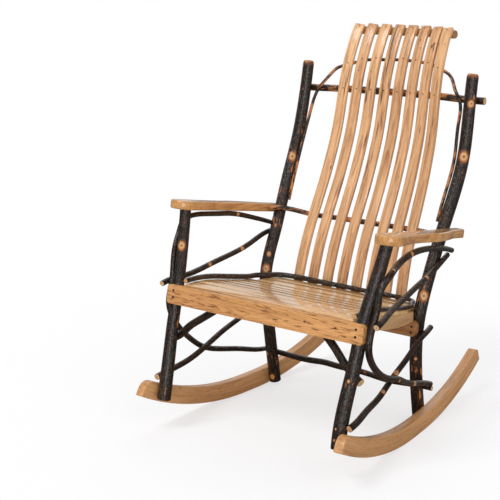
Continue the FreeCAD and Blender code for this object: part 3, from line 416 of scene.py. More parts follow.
class Route:
    """The line of a bent pole: one smooth curve through its points, with its thickness."""

    def __init__(self, points, radius, radius_shares=(1.0, 1.0)):
        self.points = np.array(points, float)
        self.base_radius = radius
        self.radius_shares = radius_shares
        steps = np.linalg.norm(np.diff(self.points, axis=0), axis=1)
        self.at = np.concatenate(([0.0], np.cumsum(steps)))
        count = len(self.points)
        matrix = np.eye(count)
        right = np.zeros((count, 3))
        bend = min(3, count - 1)
        for end, chosen in ((0, slice(0, bend + 1)), (count - 1, slice(count - bend - 1, count))):
            run = self.at[chosen] - self.at[end]
            right[end] = np.polyfit(run, self.points[chosen], bend)[-2]
        for index in range(1, count - 1):
            before, after = steps[index - 1], steps[index]
            matrix[index, index - 1:index + 2] = (after, 2 * (before + after), before)
            rise = self.points[index] - self.points[index - 1]
            fall = self.points[index + 1] - self.points[index]
            right[index] = 3 * (after * rise / before + before * fall / after)
        self.slopes = np.linalg.solve(matrix, right)

    def spot(self, share, slope=False):
        run = share * self.at[-1]
        index = int(np.clip(np.searchsorted(self.at, run) - 1, 0, len(self.at) - 2))
        step = self.at[index + 1] - self.at[index]
        part = (run - self.at[index]) / step
        first, last = self.points[index], self.points[index + 1]
        leave, arrive = self.slopes[index] * step, self.slopes[index + 1] * step
        if slope:
            return (
                (6 * part ** 2 - 6 * part) * (first - last)
                + (3 * part ** 2 - 4 * part + 1) * leave
                + (3 * part ** 2 - 2 * part) * arrive
            )
        return (
            (2 * part ** 3 - 3 * part ** 2 + 1) * first
            + (part ** 3 - 2 * part ** 2 + part) * leave
            + (3 * part ** 2 - 2 * part ** 3) * last
            + (part ** 3 - part ** 2) * arrive
        )

    def radius(self, share):
        stops = np.linspace(0, 1, len(self.radius_shares))
        return self.base_radius * np.interp(share, stops, self.radius_shares)

    def at_height(self, height, low=0.0, high=1.0):
        """The share of the route's length where it passes a height."""
        rising = self.spot(high)[2] > self.spot(low)[2]
        for _ in range(height_halvings):
            middle = (low + high) / 2
            if (self.spot(middle)[2] < height) == rising:
                low = middle
            else:
                high = middle
        return (low + high) / 2


def beside(route, height, direction, own_radius, low=0.0, high=1.0):
    """Where a second pole's middle lies when it touches this one at a height."""
    share = route.at_height(height, low, high)
    along = unit(route.spot(share, slope=True))
    direction = np.array(direction, float)
    outward = unit(direction - along * direction.dot(along))
    return route.spot(share) + outward * (route.radius(share) + own_radius + seat_gap)


bark_dark = (0.0045, 0.0032, 0.0026, 1)
bark_brown = (0.062, 0.025, 0.0095, 1)
bark_sanded = (0.20, 0.062, 0.014, 1)
bark_edge = (0.52, 0.185, 0.040, 1)
bark_rim = (0.40, 0.17, 0.055, 1)
knot_tan = (0.74, 0.44, 0.20, 1)
knot_ring = (0.36, 0.17, 0.07, 1)
cut_cream = (0.78, 0.50, 0.26, 1)
cut_ring = (0.56, 0.30, 0.13, 1)
cut_outer = (0.36, 0.15, 0.05, 1)
cut_pith = (0.07, 0.035, 0.02, 1)

bark_ridges = ((280, 280, 30), 3.0, 0.65)
bark_plates = ((120, 120, 55), 3.0, 0.7)
bark_fine = ((1200, 1200, 150), 2.0, 0.6)
bark_flecks = ((150, 150, 24), 3.0, 0.7)
bark_bands = ((16, 16, 20), 2.0, 0.6)
bark_brown_share = 0.25
bark_ridge_strength = 3.2
bark_plate_strength = 2.4
sanded_limit = 0.63
sanded_limit_drop = 0.13
sanded_fleck_share = 0.62
sanded_fade = 0.06
sanded_strength = 0.9
edge_fleck_share = 0.55
edge_start = 0.02
edge_end = 0.07
knot_raggedness = 1.1

# The rings of a knot from the outside in. Each is full within the first share of the knot's
# radius and gone past the second, and has a colour and a strength. Those past 1 are ragged.
knot_ring_shares = (
    (1.35, 1.90, bark_sanded, 0.85),
    (1.05, 1.35, bark_edge, 1.0),
    (0.72, 0.92, knot_tan, 1.0),
    (0.42, 0.56, knot_ring, 0.8),
    (0.10, 0.24, bark_brown, 0.8),
)
cut_rings_turn = 30
cut_ring_strength = 0.35
cut_fine_strength = 0.2
cut_outer_shares = (0.78, 0.92)
cut_outer_strength = 0.7
cut_pith_shares = (0.12, 0.24)
rim_strengths = (0.55, 0.4)
bark_roughness = 0.14
plate_roughness = 0.26
sanded_roughness = 0.12
cut_roughness = 0.25
ridge_height = 0.9
plate_height = 2.0
fine_height = 0.15
cut_height = 1.2
cut_ring_height = 0.12
bark_bump_distance = 0.0019


def from_middle(grain):
    """How far a spot lies from the middle of its pole."""
    across, through = grain.part(0), grain.part(1)
    return (across * across + through * through) ** 0.5


def bark_material(name, sanded_share):
    """Dark lacquered bark with lengthwise ridges, sanded patches, knots and cream cut ends."""
    material, tree, shader = new_material(name)
    grain = carried(tree, "grain", "Vector")
    knot, cut, rim, girth = [carried(tree, label) for label in ("knot", "cut", "rim", "girth")]
    ridge = grain.noise(*bark_ridges)
    plate = grain.noise(*bark_plates)
    fine = grain.noise(*bark_fine)
    fleck = grain.noise(*bark_flecks)
    band = grain.noise(*bark_bands)
    brown = (ridge - 0.5) * bark_ridge_strength + (plate - 0.5) * bark_plate_strength
    colour = Shade(tree).colour(bark_dark).mixed(bark_brown, brown + bark_brown_share)
    low = sanded_limit - sanded_share * sanded_limit_drop
    sanded = fleck * sanded_fleck_share + band * (1 - sanded_fleck_share)
    sanded = sanded.between(low, low + sanded_fade)
    colour = colour.mixed(bark_sanded, sanded * sanded_strength)
    edge = fleck * edge_fleck_share + band * (1 - edge_fleck_share)
    colour = colour.mixed(bark_edge, edge.between(low + edge_start, low + edge_end))
    uneven = knot + (plate - 0.5) * knot_raggedness
    for inner, outer, ring_colour, strength in knot_ring_shares:
        reach = uneven if inner > 1 else knot
        colour = colour.mixed(ring_colour, (1 - reach.between(inner, outer)) * strength)
    middle = from_middle(grain) / girth
    rings = middle.waves(cut_rings_turn)
    ring_share = rings * cut_ring_strength + fine * cut_fine_strength
    face = Shade(tree).colour(cut_cream).mixed(cut_ring, ring_share)
    face = face.mixed(cut_outer, middle.between(*cut_outer_shares) * cut_outer_strength)
    face = face.mixed(cut_pith, 1 - middle.between(*cut_pith_shares))
    rim_strength, rim_fine_strength = rim_strengths
    colour = colour.mixed(bark_rim, rim * (rim_strength + fine * rim_fine_strength))
    colour = colour.mixed(face, cut)
    link(tree, colour, shader, "Base Color")
    rough = bark_roughness + (1 - plate) * plate_roughness + sanded * sanded_roughness
    link(tree, rough + cut * cut_roughness, shader, "Roughness")
    height = (ridge * ridge_height + plate * plate_height + fine * fine_height) * (1 - cut)
    height = height + cut * (rings * cut_ring_height + cut_height)
    bump(tree, shader, height, bark_bump_distance, 1.0)
    shader.inputs["Specular IOR Level"].default_value = 0.68
    shader.inputs["Coat Weight"].default_value = 0.30
    shader.inputs["Coat Roughness"].default_value = 0.24
    return material


def new_tree(name, sockets):
    """An empty geometry tree with one output, and its named inputs."""
    group = bpy.data.node_groups.new(name, "GeometryNodeTree")
    for label, kind in sockets.items():
        group.interface.new_socket(label, in_out="INPUT", socket_type="NodeSocket" + kind)
    group.interface.new_socket("Result", in_out="OUTPUT", socket_type="NodeSocketGeometry")
    given = group.nodes.new("NodeGroupInput")
    return group, {item.name: Shade(group, item) for item in given.outputs if item.name}


def end_tree(group, whole, finish):
    """Gives the whole its material and leads it out of the tree."""
    sockets = {"Geometry": whole, "Material": finish}
    whole = Shade(group).add("GeometryNodeSetMaterial", {}, sockets)
    result = group.nodes.new("NodeGroupOutput")
    group.links.new(whole.socket, result.inputs["Result"])


pole_lumps = ((38, 38, 13), 2.0)
pole_ridges = ((160, 160, 9), 1.0)
pole_lump_share = 0.55


def pole_tree():
    """The pole's node tree: a curve becomes a ridged, slightly uneven tube with cut ends."""
    group, inputs = new_tree(
        "Bark pole",
        {
            "Route": "Geometry",
            "Ring spacing": "Float",
            "Points around": "Int",
            "Hollow depth": "Float",
            "Pattern start": "Float",
            "Cut edge": "Float",
            "Finish": "Material",
        },
    )
    new = Shade(group).add

    def stored(geometry, name, value, kind="FLOAT", domain="POINT"):
        settings = {"data_type": kind, "domain": domain}
        sockets = {"Geometry": geometry, "Name": name, "Value": value}
        return new("GeometryNodeStoreNamedAttribute", settings, sockets)

    def named(name, kind="FLOAT"):
        return new("GeometryNodeInputNamedAttribute", {"data_type": kind}, {"Name": name})

    def vectors(operation, first, sockets):
        """Vector maths on one vector and what the other sockets hold."""
        return new("ShaderNodeVectorMath", {"operation": operation}, {0: first, **sockets})

    def over(kind, value, limit, sockets):
        """Whether a value is over a limit; each kind of number has its own two sockets."""
        settings = {"data_type": kind, "operation": "GREATER_THAN"}
        return new("FunctionNodeCompare", settings, dict(zip(sockets, (value, limit))))

    route = new(
        "GeometryNodeResampleCurve",
        {"mode": "LENGTH"},
        {"Curve": inputs["Route"], "Length": inputs["Ring spacing"]},
    )
    run = new("GeometryNodeSplineParameter", {}, {}, "Length")
    girth = new("GeometryNodeInputRadius", {}, {})
    route = stored(route, "run", run + inputs["Pattern start"])
    route = stored(route, "girth", girth)
    route = stored(route, "middle", new("GeometryNodeInputPosition", {}, {}), "FLOAT_VECTOR")
    circle = new(
        "GeometryNodeCurvePrimitiveCircle",
        {"mode": "RADIUS"},
        {"Resolution": inputs["Points around"], "Radius": 1.0},
    )
    share = new("GeometryNodeSplineParameter", {}, {}, "Factor")
    circle = stored(circle, "turn", share * (2 * pi))
    tube = new(
        "GeometryNodeCurveToMesh",
        {},
        {"Curve": route, "Profile Curve": circle, "Scale": girth, "Fill Caps": True},
    )
    turn, radius = named("turn"), named("girth")
    across = turn.maths("COSINE", turn) * radius
    through = turn.maths("SINE", turn) * radius
    laid = new("ShaderNodeCombineXYZ", {}, {0: across, 1: through, 2: named("run")})
    tube = stored(tube, "grain", laid, "FLOAT_VECTOR")
    grain = named("grain", "FLOAT_VECTOR")
    lumps = grain.noise(*pole_lumps) * pole_lump_share
    ridges = grain.noise(*pole_ridges) * (1 - pole_lump_share)
    hollow = (lumps + ridges) * inputs["Hollow depth"]
    spot = new("GeometryNodeInputPosition", {}, {})
    centre = named("middle", "FLOAT_VECTOR")
    arm = vectors("SUBTRACT", spot, {1: centre})
    moved = vectors("ADD", centre, {1: vectors("SCALE", arm, {"Scale": 1 - hollow})})
    tube = new("GeometryNodeSetPosition", {}, {"Geometry": tube, "Position": moved})
    corners = new("GeometryNodeInputMeshFaceNeighbors", {}, {}, "Vertex Count")
    # Only the two ends have faces with more than four corners.
    caps = over("INT", corners, 4, (2, 3))
    extruded = group.nodes.new("GeometryNodeExtrudeMesh")
    extruded.mode = "FACES"
    group.links.new(tube.socket, extruded.inputs["Mesh"])
    group.links.new(caps.socket, extruded.inputs["Selection"])
    extruded.inputs["Individual"].default_value = True
    extruded.inputs["Offset Scale"].default_value = 0.0
    ended = Shade(group, extruded.outputs["Mesh"])
    ended = stored(ended, "cut", Shade(group, extruded.outputs["Top"]), "FLOAT", "FACE")
    ended = stored(ended, "rim", Shade(group, extruded.outputs["Side"]), "FLOAT", "FACE")
    capped = over("FLOAT", named("cut"), 0.5, (0, 1))
    ended = new(
        "GeometryNodeScaleElements",
        {"domain": "FACE"},
        {"Geometry": ended, "Selection": capped, "Scale": 1 - inputs["Cut edge"]},
    )
    whole = new("GeometryNodeRealizeInstances", {}, {"Geometry": ended})
    whole = new("GeometryNodeSetShadeSmooth", {}, {"Geometry": whole, "Shade Smooth": True})
    end_tree(group, whole, inputs["Finish"])
    return group


def grow(piece, tree, values):
    """Puts a node tree on a piece, sets the tree's inputs by their names and settles it."""
    modifier = piece.modifiers.new("growth", "NODES")
    modifier.node_group = tree
    for item in tree.interface.items_tree:
        if item.in_out == "INPUT" and item.name in values:
            modifier[item.identifier] = values[item.name]
    return settled(piece)


bark_pole_tree = pole_tree()
pattern_step = 2.37
pattern_starts = itertools.count(0.0, pattern_step)
ring_spacing = 0.0024
curve_steps = 24
thick_pole_radius = 0.012
thick_pole_points = 56
thin_pole_points = 28
cut_edge_share = 0.07
far_from_knots = 3.0
knot_shape = (1, 1, 0.8)
knot_swell_share = 0.07
knot_swell_reach = 1.7
peeled_near = 0.95
peeled_fade = 0.55
peeled_shrink_share = 0.20


def grown(node, route, finish, hollow=0.06, knots=(), peeled_top=0.0):
    """One pole in the place of its node. A knot is a point on the bark and its radius.

    The peeled top is how far down the last end is rounded over and free of bark."""
    line = bpy.data.curves.new(node + "_line", "CURVE")
    line.dimensions = "3D"
    line.resolution_u = curve_steps
    spline = line.splines.new("BEZIER")
    spline.bezier_points.add(len(route.points) - 1)
    for index, knob in enumerate(spline.bezier_points):
        # At an end of the line, its one step serves both handles.
        before = route.at[index] - route.at[max(index - 1, 0)]
        after = route.at[min(index + 1, len(route.at) - 1)] - route.at[index]
        before, after = before or after, after or before
        knob.handle_left_type = knob.handle_right_type = "FREE"
        knob.co = route.points[index]
        knob.handle_left = route.points[index] - route.slopes[index] * before / 3
        knob.handle_right = route.points[index] + route.slopes[index] * after / 3
        knob.radius = route.radius(route.at[index] / route.at[-1])
    thick = route.base_radius > thick_pole_radius
    piece = grow(
        new_piece(node + "_pole", line),
        bark_pole_tree,
        {
            "Ring spacing": ring_spacing,
            "Points around": thick_pole_points if thick else thin_pole_points,
            "Hollow depth": hollow,
            "Pattern start": next(pattern_starts),
            "Cut edge": cut_edge_share,
            "Finish": finish,
        },
    )
    mesh = piece.data
    places = read(mesh.vertices, "co")
    middles = read(mesh.attributes["middle"].data, "vector")
    near = np.full(len(places), far_from_knots)
    for x, y, z, size in knots:
        apart = (places - np.array((x, y, z))) / size * knot_shape
        near = np.minimum(near, np.linalg.norm(apart, axis=1))
    swell = knot_swell_share * np.clip(knot_swell_reach - near, 0, 1)
    places = places + (places - middles) * swell[:, None]
    if peeled_top:
        runs = read(mesh.attributes["run"].data, "value", 1)[:, 0]
        below_top = (runs.max() - runs) / peeled_top
        near = np.minimum(near, peeled_near + peeled_fade * below_top)
        shrink = peeled_shrink_share * np.clip(1 - below_top, 0, 1) ** 2
        places = places - (places - middles) * shrink[:, None]
    mesh.vertices.foreach_set("co", places.ravel())
    carry(mesh, "knot", near)
    mesh.update()
    seat_in_frame(piece, node)


post_bark = bark_material("post_bark", sanded_share=0.38)
front_posts = {}
rear_posts = {}
for name, side in sides:
    points = mirrored(front_post_shares, side)
    points[-1][2] = chair_height * arm_front_shares[name] + post_into_arm
    front_posts[name] = Route(points, front_post_radius, front_radius_shares[name])
    points = mirrored(rear_post_shares, side)
    points[-1][2] = chair_height * rear_post_top_shares[name]
    rear_posts[name] = Route(points, rear_post_radius, rear_radius_shares)
post_knots = {
    "front_post_left": (
        (0.3008, -0.3605, 0.2680, 0.0030),
        (0.2871, -0.3950, 0.1475, 0.0020),
        (0.2872, -0.4012, 0.1194, 0.0022),
    ),
    "front_post_right": ((-0.3087, -0.2775, 0.5135, 0.0085),),
    "rear_post_left": (
        (0.2904, 0.2799, 0.9009, 0.0075),
        (0.2933, 0.2425, 0.7558, 0.0105),
        (0.2786, 0.0643, 0.3880, 0.0095),
        (0.2641, 0.0557, 0.2034, 0.0035),
    ),
    "rear_post_right": (
        (-0.2756, 0.2191, 0.7019, 0.0095),
        (-0.2602, 0.0620, 0.3808, 0.0090),
        (-0.2622, 0.0788, 0.4230, 0.0050),
        (-0.2595, 0.0686, 0.1073, 0.0030),
        (-0.2502, 0.0832, 0.0284, 0.0060),
    ),
}
for name, side in sides:
    label = "front_post_" + name
    grown(label, front_posts[name], post_bark, knots=post_knots[label])
    label = "rear_post_" + name
    grown(label, rear_posts[name], post_bark, knots=post_knots[label], peeled_top=peeled_length)

# Apron and rear rail
# Sawn planks across the posts, screwed to them. The apron shows the arched growth lines of a
# plain-sawn board and a few dark pin knots; the rear rail is coloured much darker, which is painted shade
# for where it lies under the seat.

apron_edge_round = 0.0022
apron_heart_y = -0.32
apron_heart_z = 0.384
rail_edge_round = 0.0020
rail_heart_y = 0.04
rail_heart_z = 0.30
rail_pattern_start = 3
apron_light = (0.78, 0.40, 0.150, 1)
apron_dark = (0.42, 0.160, 0.045, 1)
# The rear rail's two colours are darkened well below the apron's: painted shade for the shadow under the
# seat.
rail_light_painted_shade = (0.42, 0.19, 0.065, 1)
rail_dark_painted_shade = (0.24, 0.095, 0.030, 1)
apron_spots = (
    (0.0044, 0.1443, 0.0030, 0.0045),
    (-0.0072, 0.0519, 0.0020, 0.0090),
    (0.0041, 0.2387, 0.0035, 0.0050),
    (-0.0066, -0.2300, 0.0014, 0.0080),
    (0.0222, 0.2419, 0.0014, 0.0150),
)
apron_wood = oak_material(
    "apron_oak", apron_light, apron_dark, rings=210, taper=0.075, wave=1.6, gloss=0.34,
    streaks=0.95, streaks_along=21.0, spots=apron_spots,
)
# The rear rail's material carries painted shade in its darkened colours.
rail_wood_painted_shade = oak_material("rear_rail_oak", rail_light_painted_shade, rail_dark_painted_shade, rings=120, gloss=0.4)
sawn(
    "front_apron",
    apron_edge_round,
    lambda x, y, z: (z - apron_heart_z, y - apron_heart_y, x),
    apron_wood,
)
sawn(
    "rear_seat_rail",
    rail_edge_round,
    lambda x, y, z: (z - rail_heart_z, y - rail_heart_y, x + rail_pattern_start),
    rail_wood_painted_shade,
)

# Seat
# Eight oak slats from side to side on two shaped panels and a board at the back. They are
# sanded and lacquered together, so they shine, and thin dark lines part them.

seat_edge_round = 0.0016
seat_pattern_y = -0.3
seat_pattern_z = 0.4
seat_slat_pitch = 0.05
seat_pattern_step = 1.7
panel_heart_x = 0.27
panel_heart_z = 0.36
panel_pattern_start = 5
board_edge_round = 0.0015
board_heart_y = 0.07
board_heart_z = 0.33
board_pattern_start = 9
seat_light = (0.95, 0.60, 0.290, 1)
seat_dark = (0.50, 0.230, 0.080, 1)
panel_light = (0.66, 0.40, 0.190, 1)
panel_dark = (0.50, 0.27, 0.110, 1)
seat_wood = oak_material(
    "seat_oak", seat_light, seat_dark, rings=100, taper=0.05, board_share=3.2, gloss=0.20,
    coat=0.7,
)
panel_wood = oak_material(
    "panel_oak", panel_light, panel_dark, rings=60, gloss=0.4, streaks=0.1
)
for number in range(1, 9):
    sawn(
        "seat_slat_%d" % number,
        seat_edge_round,
        lambda x, y, z: (
            y - seat_pattern_y - seat_slat_pitch * number,
            z - seat_pattern_z,
            x + seat_pattern_step * number,
        ),
        seat_wood,
    )
for name, side in sides:
    sawn(
        "seat_side_panel_" + name,
        seat_edge_round,
        lambda x, y, z: (
            z - panel_heart_z, (x - side * panel_heart_x) * side, y + panel_pattern_start + side
        ),
        panel_wood,
    )
sawn(
    "back_foot_board",
    board_edge_round,
    lambda x, y, z: (y - board_heart_y, z - board_heart_z, x + board_pattern_start),
    panel_wood,
)

# Back slats
# Eight slats sawn to the bend of the back, fanned in towards the top. Their boards differ:
# one has a black knot, others carry red-brown mineral streaks.

slat_foot_shares = (-0.470, -0.336, -0.201, -0.066, 0.069, 0.203, 0.337, 0.470)
slat_top_shares = (-0.396, -0.286, -0.167, -0.048, 0.070, 0.188, 0.302, 0.398)
slat_line_shares = (
    (0.124, 0.3182),
    (0.142, 0.3727),
    (0.178, 0.4545),
    (0.221, 0.5273),
    (0.259, 0.5909),
    (0.293, 0.6591),
    (0.320, 0.7273),
    (0.337, 0.8000),
    (0.353, 0.8636),
    (0.379, 0.9273),
    (0.431, 1.0000),
)
slat_thickness = 0.0105
slat_bow = 0.015
slat_edge_round = 0.0022
slat_overrun = 0.02
slat_steps = 60
slat_middle_x = 0.1
slat_pattern_step = 1.3
rod_clearance = 0.0006
rear_rail_top_share = 0.29
board_thickness = 0.019
slat_foot_height = chair_height * rear_rail_top_share + seat_gap * 2 + board_thickness
slat_line = Route([place(0, y, z) for y, z in slat_line_shares], slat_thickness)


def slat_rise(height):
    return (height - slat_foot_height) / (chair_height - slat_foot_height)


def slat_x(index, height):
    foot = half_width * slat_foot_shares[index]
    top = half_width * slat_top_shares[index]
    return foot + (top - foot) * slat_rise(height)


def slat_point(x, height):
    """The middle of the row of slats at a place across and a height."""
    point = slat_line.spot(slat_line.at_height(height))
    outer = half_width * slat_top_shares[-1]
    bow = slat_bow * (1 - (x / outer) ** 2) * slat_rise(height)
    return np.array((x, point[1] + bow, height))


def slat_normal(x, height):
    """The direction out of a slat's back."""
    step = slat_thickness / 8
    up = unit(slat_point(x, height + step) - slat_point(x, height - step))
    aside = unit(slat_point(x + step, height) - slat_point(x - step, height))
    return unit(np.cross(up, aside))


def behind_slats(x, height, radius):
    """The middle of a rod that touches the backs of the slats."""
    distance = slat_thickness / 2 + radius + rod_clearance
    return slat_point(x, height) + slat_normal(x, height) * distance


line_heights = np.linspace(slat_foot_height - slat_overrun, chair_height + slat_overrun, slat_steps)
line_depths = [slat_point(slat_middle_x, height)[1] for height in line_heights]
slat_tones = (0.0, 0.18, 0.05, 0.30, 0.0, 0.22, 0.30, 0.08)
slat_streaks = (0.45, 0.65, 0.60, 0.95, 0.45, 0.6, 0.50, 0.55)
# A spot's place along a slat is its height, with the pattern step for each slat before it.
slat_spots = (
    ((0.0071, 0.9121, 0.0018, 0.030), (0.0111, 0.9509, 0.0015, 0.030), (0.0126, 0.6774, 0.002, 0.006)),
    ((-0.0018, 2.2665, 0.0012, 0.003), (0.0060, 2.3500, 0.0012, 0.020)),
    (
        (-0.0077, 3.5647, 0.0014, 0.004),
        (-0.0042, 3.5254, 0.0030, 0.020),
        (-0.0088, 3.4927, 0.0020, 0.020),
        (0.0104, 3.3560, 0.0015, 0.018),
        (0.0122, 3.3720, 0.0015, 0.020),
    ),
    ((-0.0060, 4.9650, 0.0024, 0.060), (-0.0020, 4.9000, 0.0020, 0.060), (-0.0040, 4.7990, 0.0030, 0.030)),
    ((0.0030, 6.2350, 0.0010, 0.035), (-0.0083, 6.2800, 0.0010, 0.003)),
    ((-0.0014, 7.5620, 0.0016, 0.004), (0.0040, 7.5400, 0.0010, 0.003)),
    (
        (0.0002, 8.8461, 0.0040, 0.006),
        (0.0060, 8.8520, 0.0040, 0.006),
        (0.0075, 8.8400, 0.0025, 0.010),
        (0.0119, 8.8563, 0.0012, 0.002),
        (0.0025, 8.6098, 0.0015, 0.012),
    ),
    (
        (0.0071, 10.1541, 0.0012, 0.004),
        (0.0029, 9.9366, 0.0012, 0.014),
        (-0.0022, 9.8938, 0.0014, 0.012),
        (-0.0016, 9.8742, 0.0014, 0.008),
    ),
)
slat_light = (0.88, 0.52, 0.265, 1)
slat_dark = (0.42, 0.175, 0.070, 1)
slat_warm = (0.72, 0.37, 0.175, 1)
slat_streak_colour = (0.24, 0.085, 0.045, 1)
for index, tone in enumerate(slat_tones):
    light = tuple(a + (b - a) * tone for a, b in zip(slat_light, slat_warm))
    wood = oak_material(
        "slat_oak_%d" % (index + 1), light, slat_dark, rings=120, taper=0.035, gloss=0.33,
        streaks=slat_streaks[index], streaks_along=9.6, streak_colour=slat_streak_colour,
        spots=slat_spots[index],
    )
    sawn(
        "back_slat_%d" % (index + 1),
        slat_edge_round,
        lambda x, y, z: (
            x - slat_x(index, z),
            y - np.interp(z, line_heights, line_depths),
            z + slat_pattern_step * index,
        ),
        wood,
    )

# Rods behind the slats
# A peeled rod at the crest, and two bark-covered rails: the upper one behind the posts, the
# lower one at arm height.

crest_height_share = 0.992
upper_rail_height_share = 0.8275
crest_rod_radius = 0.0123
upper_rail_radius = 0.011
lower_rail_radius = 0.0084
crest_x_shares = (-0.437, -0.286, -0.048, 0.188, 0.437)
upper_rail_x_shares = (-0.45, -0.22, 0, 0.22, 0.45)
lower_rail_x_shares = (-0.475, -0.30, -0.15, 0, 0.15, 0.30, 0.47)
lower_rail_height_share = 0.4925
lower_rail_left_height_share = 0.4935
lower_rail_right_height_share = 0.4965
lower_rail_right_way_shares = (0.61, -0.79, 0)
lower_rail_stub_shares = (0.070, 0.0216, 0)
lower_rail_radius_shares = (0.9, 1.0, 0.95)
upper_rail_stub_share = 0.084
rod_hollow = 0.05
behind = (0, 1, 0)
peeled_light = (0.46, 0.25, 0.105, 1)
peeled_dark = (0.24, 0.105, 0.04, 1)
peeled_cut = (0.40, 0.20, 0.08, 1)
peeled_cut_ring = (0.20, 0.085, 0.03, 1)
peeled_fibre = ((500, 500, 22), 3.0, 0.6)
peeled_broad = ((60, 60, 9), 2.0, 0.6)
peeled_fibre_strength = 0.9
peeled_broad_strength = 1.3
peeled_dark_share = 0.45
peeled_rings_turn = 3600
peeled_ring_strength = 0.5
peeled_roughness = 0.34
peeled_fibre_roughness = 0.2
peeled_fibre_height = 0.6
peeled_bump_distance = 0.0006
peeled_bump_strength = 0.5


def across_back(radius, height_share, x_shares):
    """The points of a rod that lies along the backs of the slats."""
    height = chair_height * height_share
    return [behind_slats(half_width * share, height, radius) for share in x_shares]


def peeled_material(name):
    """A peeled sapling: smooth tan wood with lengthwise tool marks and ringed sawn ends."""
    material, tree, shader = new_material(name)
    grain = carried(tree, "grain", "Vector")
    fibre = grain.noise(*peeled_fibre)
    broad = grain.noise(*peeled_broad)
    share = (fibre - 0.5) * peeled_fibre_strength + (broad - 0.5) * peeled_broad_strength
    colour = Shade(tree).colour(peeled_light).mixed(peeled_dark, share + peeled_dark_share)
    rings = from_middle(grain).waves(peeled_rings_turn)
    face = Shade(tree).colour(peeled_cut).mixed(peeled_cut_ring, rings * peeled_ring_strength)
    colour = colour.mixed(face, carried(tree, "cut"))
    link(tree, colour, shader, "Base Color")
    link(tree, peeled_roughness + fibre * peeled_fibre_roughness, shader, "Roughness")
    height = fibre * peeled_fibre_height + broad
    bump(tree, shader, height, peeled_bump_distance, peeled_bump_strength)
    return material


crest_points = across_back(crest_rod_radius, crest_height_share, crest_x_shares)
crest_rod = Route(crest_points, crest_rod_radius)
peeled_wood = peeled_material("peeled_wood")
grown("crest_rod", crest_rod, peeled_wood, rod_hollow)

rod_bark = bark_material("rod_bark", sanded_share=1.1)
upper_rail_height = chair_height * upper_rail_height_share
upper_left = beside(rear_posts["left"], upper_rail_height, behind, upper_rail_radius)
upper_right = beside(rear_posts["right"], upper_rail_height, behind, upper_rail_radius)
upper_stub = np.array((half_width * upper_rail_stub_share, -seat_gap, 0))
upper_rail = Route(
    [upper_right + upper_stub * (-1, 1, 1), upper_right]
    + across_back(upper_rail_radius, upper_rail_height_share, upper_rail_x_shares)
    + [upper_left, upper_left + upper_stub],
    upper_rail_radius,
)
grown("upper_back_rail", upper_rail, rod_bark)

lower_right = beside(
    rear_posts["right"],
    chair_height * lower_rail_right_height_share,
    lower_rail_right_way_shares,
    lower_rail_radius + post_clearance,
)
lower_left_height = chair_height * lower_rail_left_height_share
lower_left = beside(rear_posts["left"], lower_left_height, behind, lower_rail_radius)
lower_rail = Route(
    [lower_right - place(*lower_rail_stub_shares), lower_right]
    + across_back(lower_rail_radius, lower_rail_height_share, lower_rail_x_shares)
    + [lower_left],
    lower_rail_radius,
    lower_rail_radius_shares,
)
grown("lower_back_rail", lower_rail, rod_bark)

# Back hoop
# One long thin sapling bent into an arch beside the posts and behind the slats, nailed to
# the upper rail where it crosses it.

hoop_radius = 0.005
hoop_clearance = 0.0018
hoop_side_shares = (
    (0.683, 0.222, 0.5909),
    (0.688, 0.272, 0.6818),
    (0.668, 0.304, 0.7636),
)
hoop_arch_shares = ((0.585, 0.846, 1.3), (0.552, 0.863, 0.6), (0.507, 0.882, 0))
hoop_cross_shares = (0.895, 0.907, 0.911, 0.913, 0.914, 0.912, 0.908, 0.897)
hoop_nail_share = 0.385


def hoop_side(side):
    """One side of the hoop, from its foot beside the post up to the outer slat."""
    post = rear_posts["left" if side > 0 else "right"]
    foot_height = lower_right[2] + lower_rail_radius + hoop_radius * 2
    points = [beside(post, foot_height, (-side, 0, 0), hoop_radius)]
    points += mirrored(hoop_side_shares, side)
    nail = upper_rail.spot(0.5 + side * hoop_nail_share)
    points.append(nail - (0, hoop_radius + upper_rail_radius + hoop_clearance, 0))
    for x_share, z_share, forward_share in hoop_arch_shares:
        spot = behind_slats(half_width * x_share * side, chair_height * z_share, hoop_radius)
        points.append(spot - (0, hoop_radius * forward_share, 0))
    return points


hoop_top = []
for index, share in enumerate(hoop_cross_shares):
    height = chair_height * share
    hoop_top.append(behind_slats(slat_x(index, height), height, hoop_radius))
hoop = Route(hoop_side(-1) + hoop_top + hoop_side(1)[::-1], hoop_radius)
grown("back_hoop", hoop, rod_bark, rod_hollow)

# Arms
# Broad sawn planks on top of the front posts, shaped by band saw and rounded over by hand.
# They carry the most lacquer and the most handling, so they reflect the room.

arm_edge_round = 0.0045
arm_middle_x = 0.325
arm_heart_z = 0.6
arm_slope = 0.155
arm_pattern_start = 7
arm_light = (0.72, 0.38, 0.140, 1)
arm_dark = (0.40, 0.155, 0.045, 1)
arm_spots = ((-0.0316, 5.0858, 0.0016, 0.005),)
arm_wood = oak_material(
    "arm_oak", arm_light, arm_dark, rings=150, taper=0.05, gloss=0.20, coat=0.6, streaks=0.4,
    spots=arm_spots,
)
for name, side in sides:
    sawn(
        "arm_" + name,
        arm_edge_round,
        lambda x, y, z: (
            (x - side * arm_middle_x) * side,
            z - arm_heart_z + arm_slope * y,
            y + arm_pattern_start + 2 * side,
        ),
        arm_wood,
    )

# Side bows
# A sapling each side: from outside the rear post under the arm, forward, down past the front
# post and back to the rear post near the rocker.

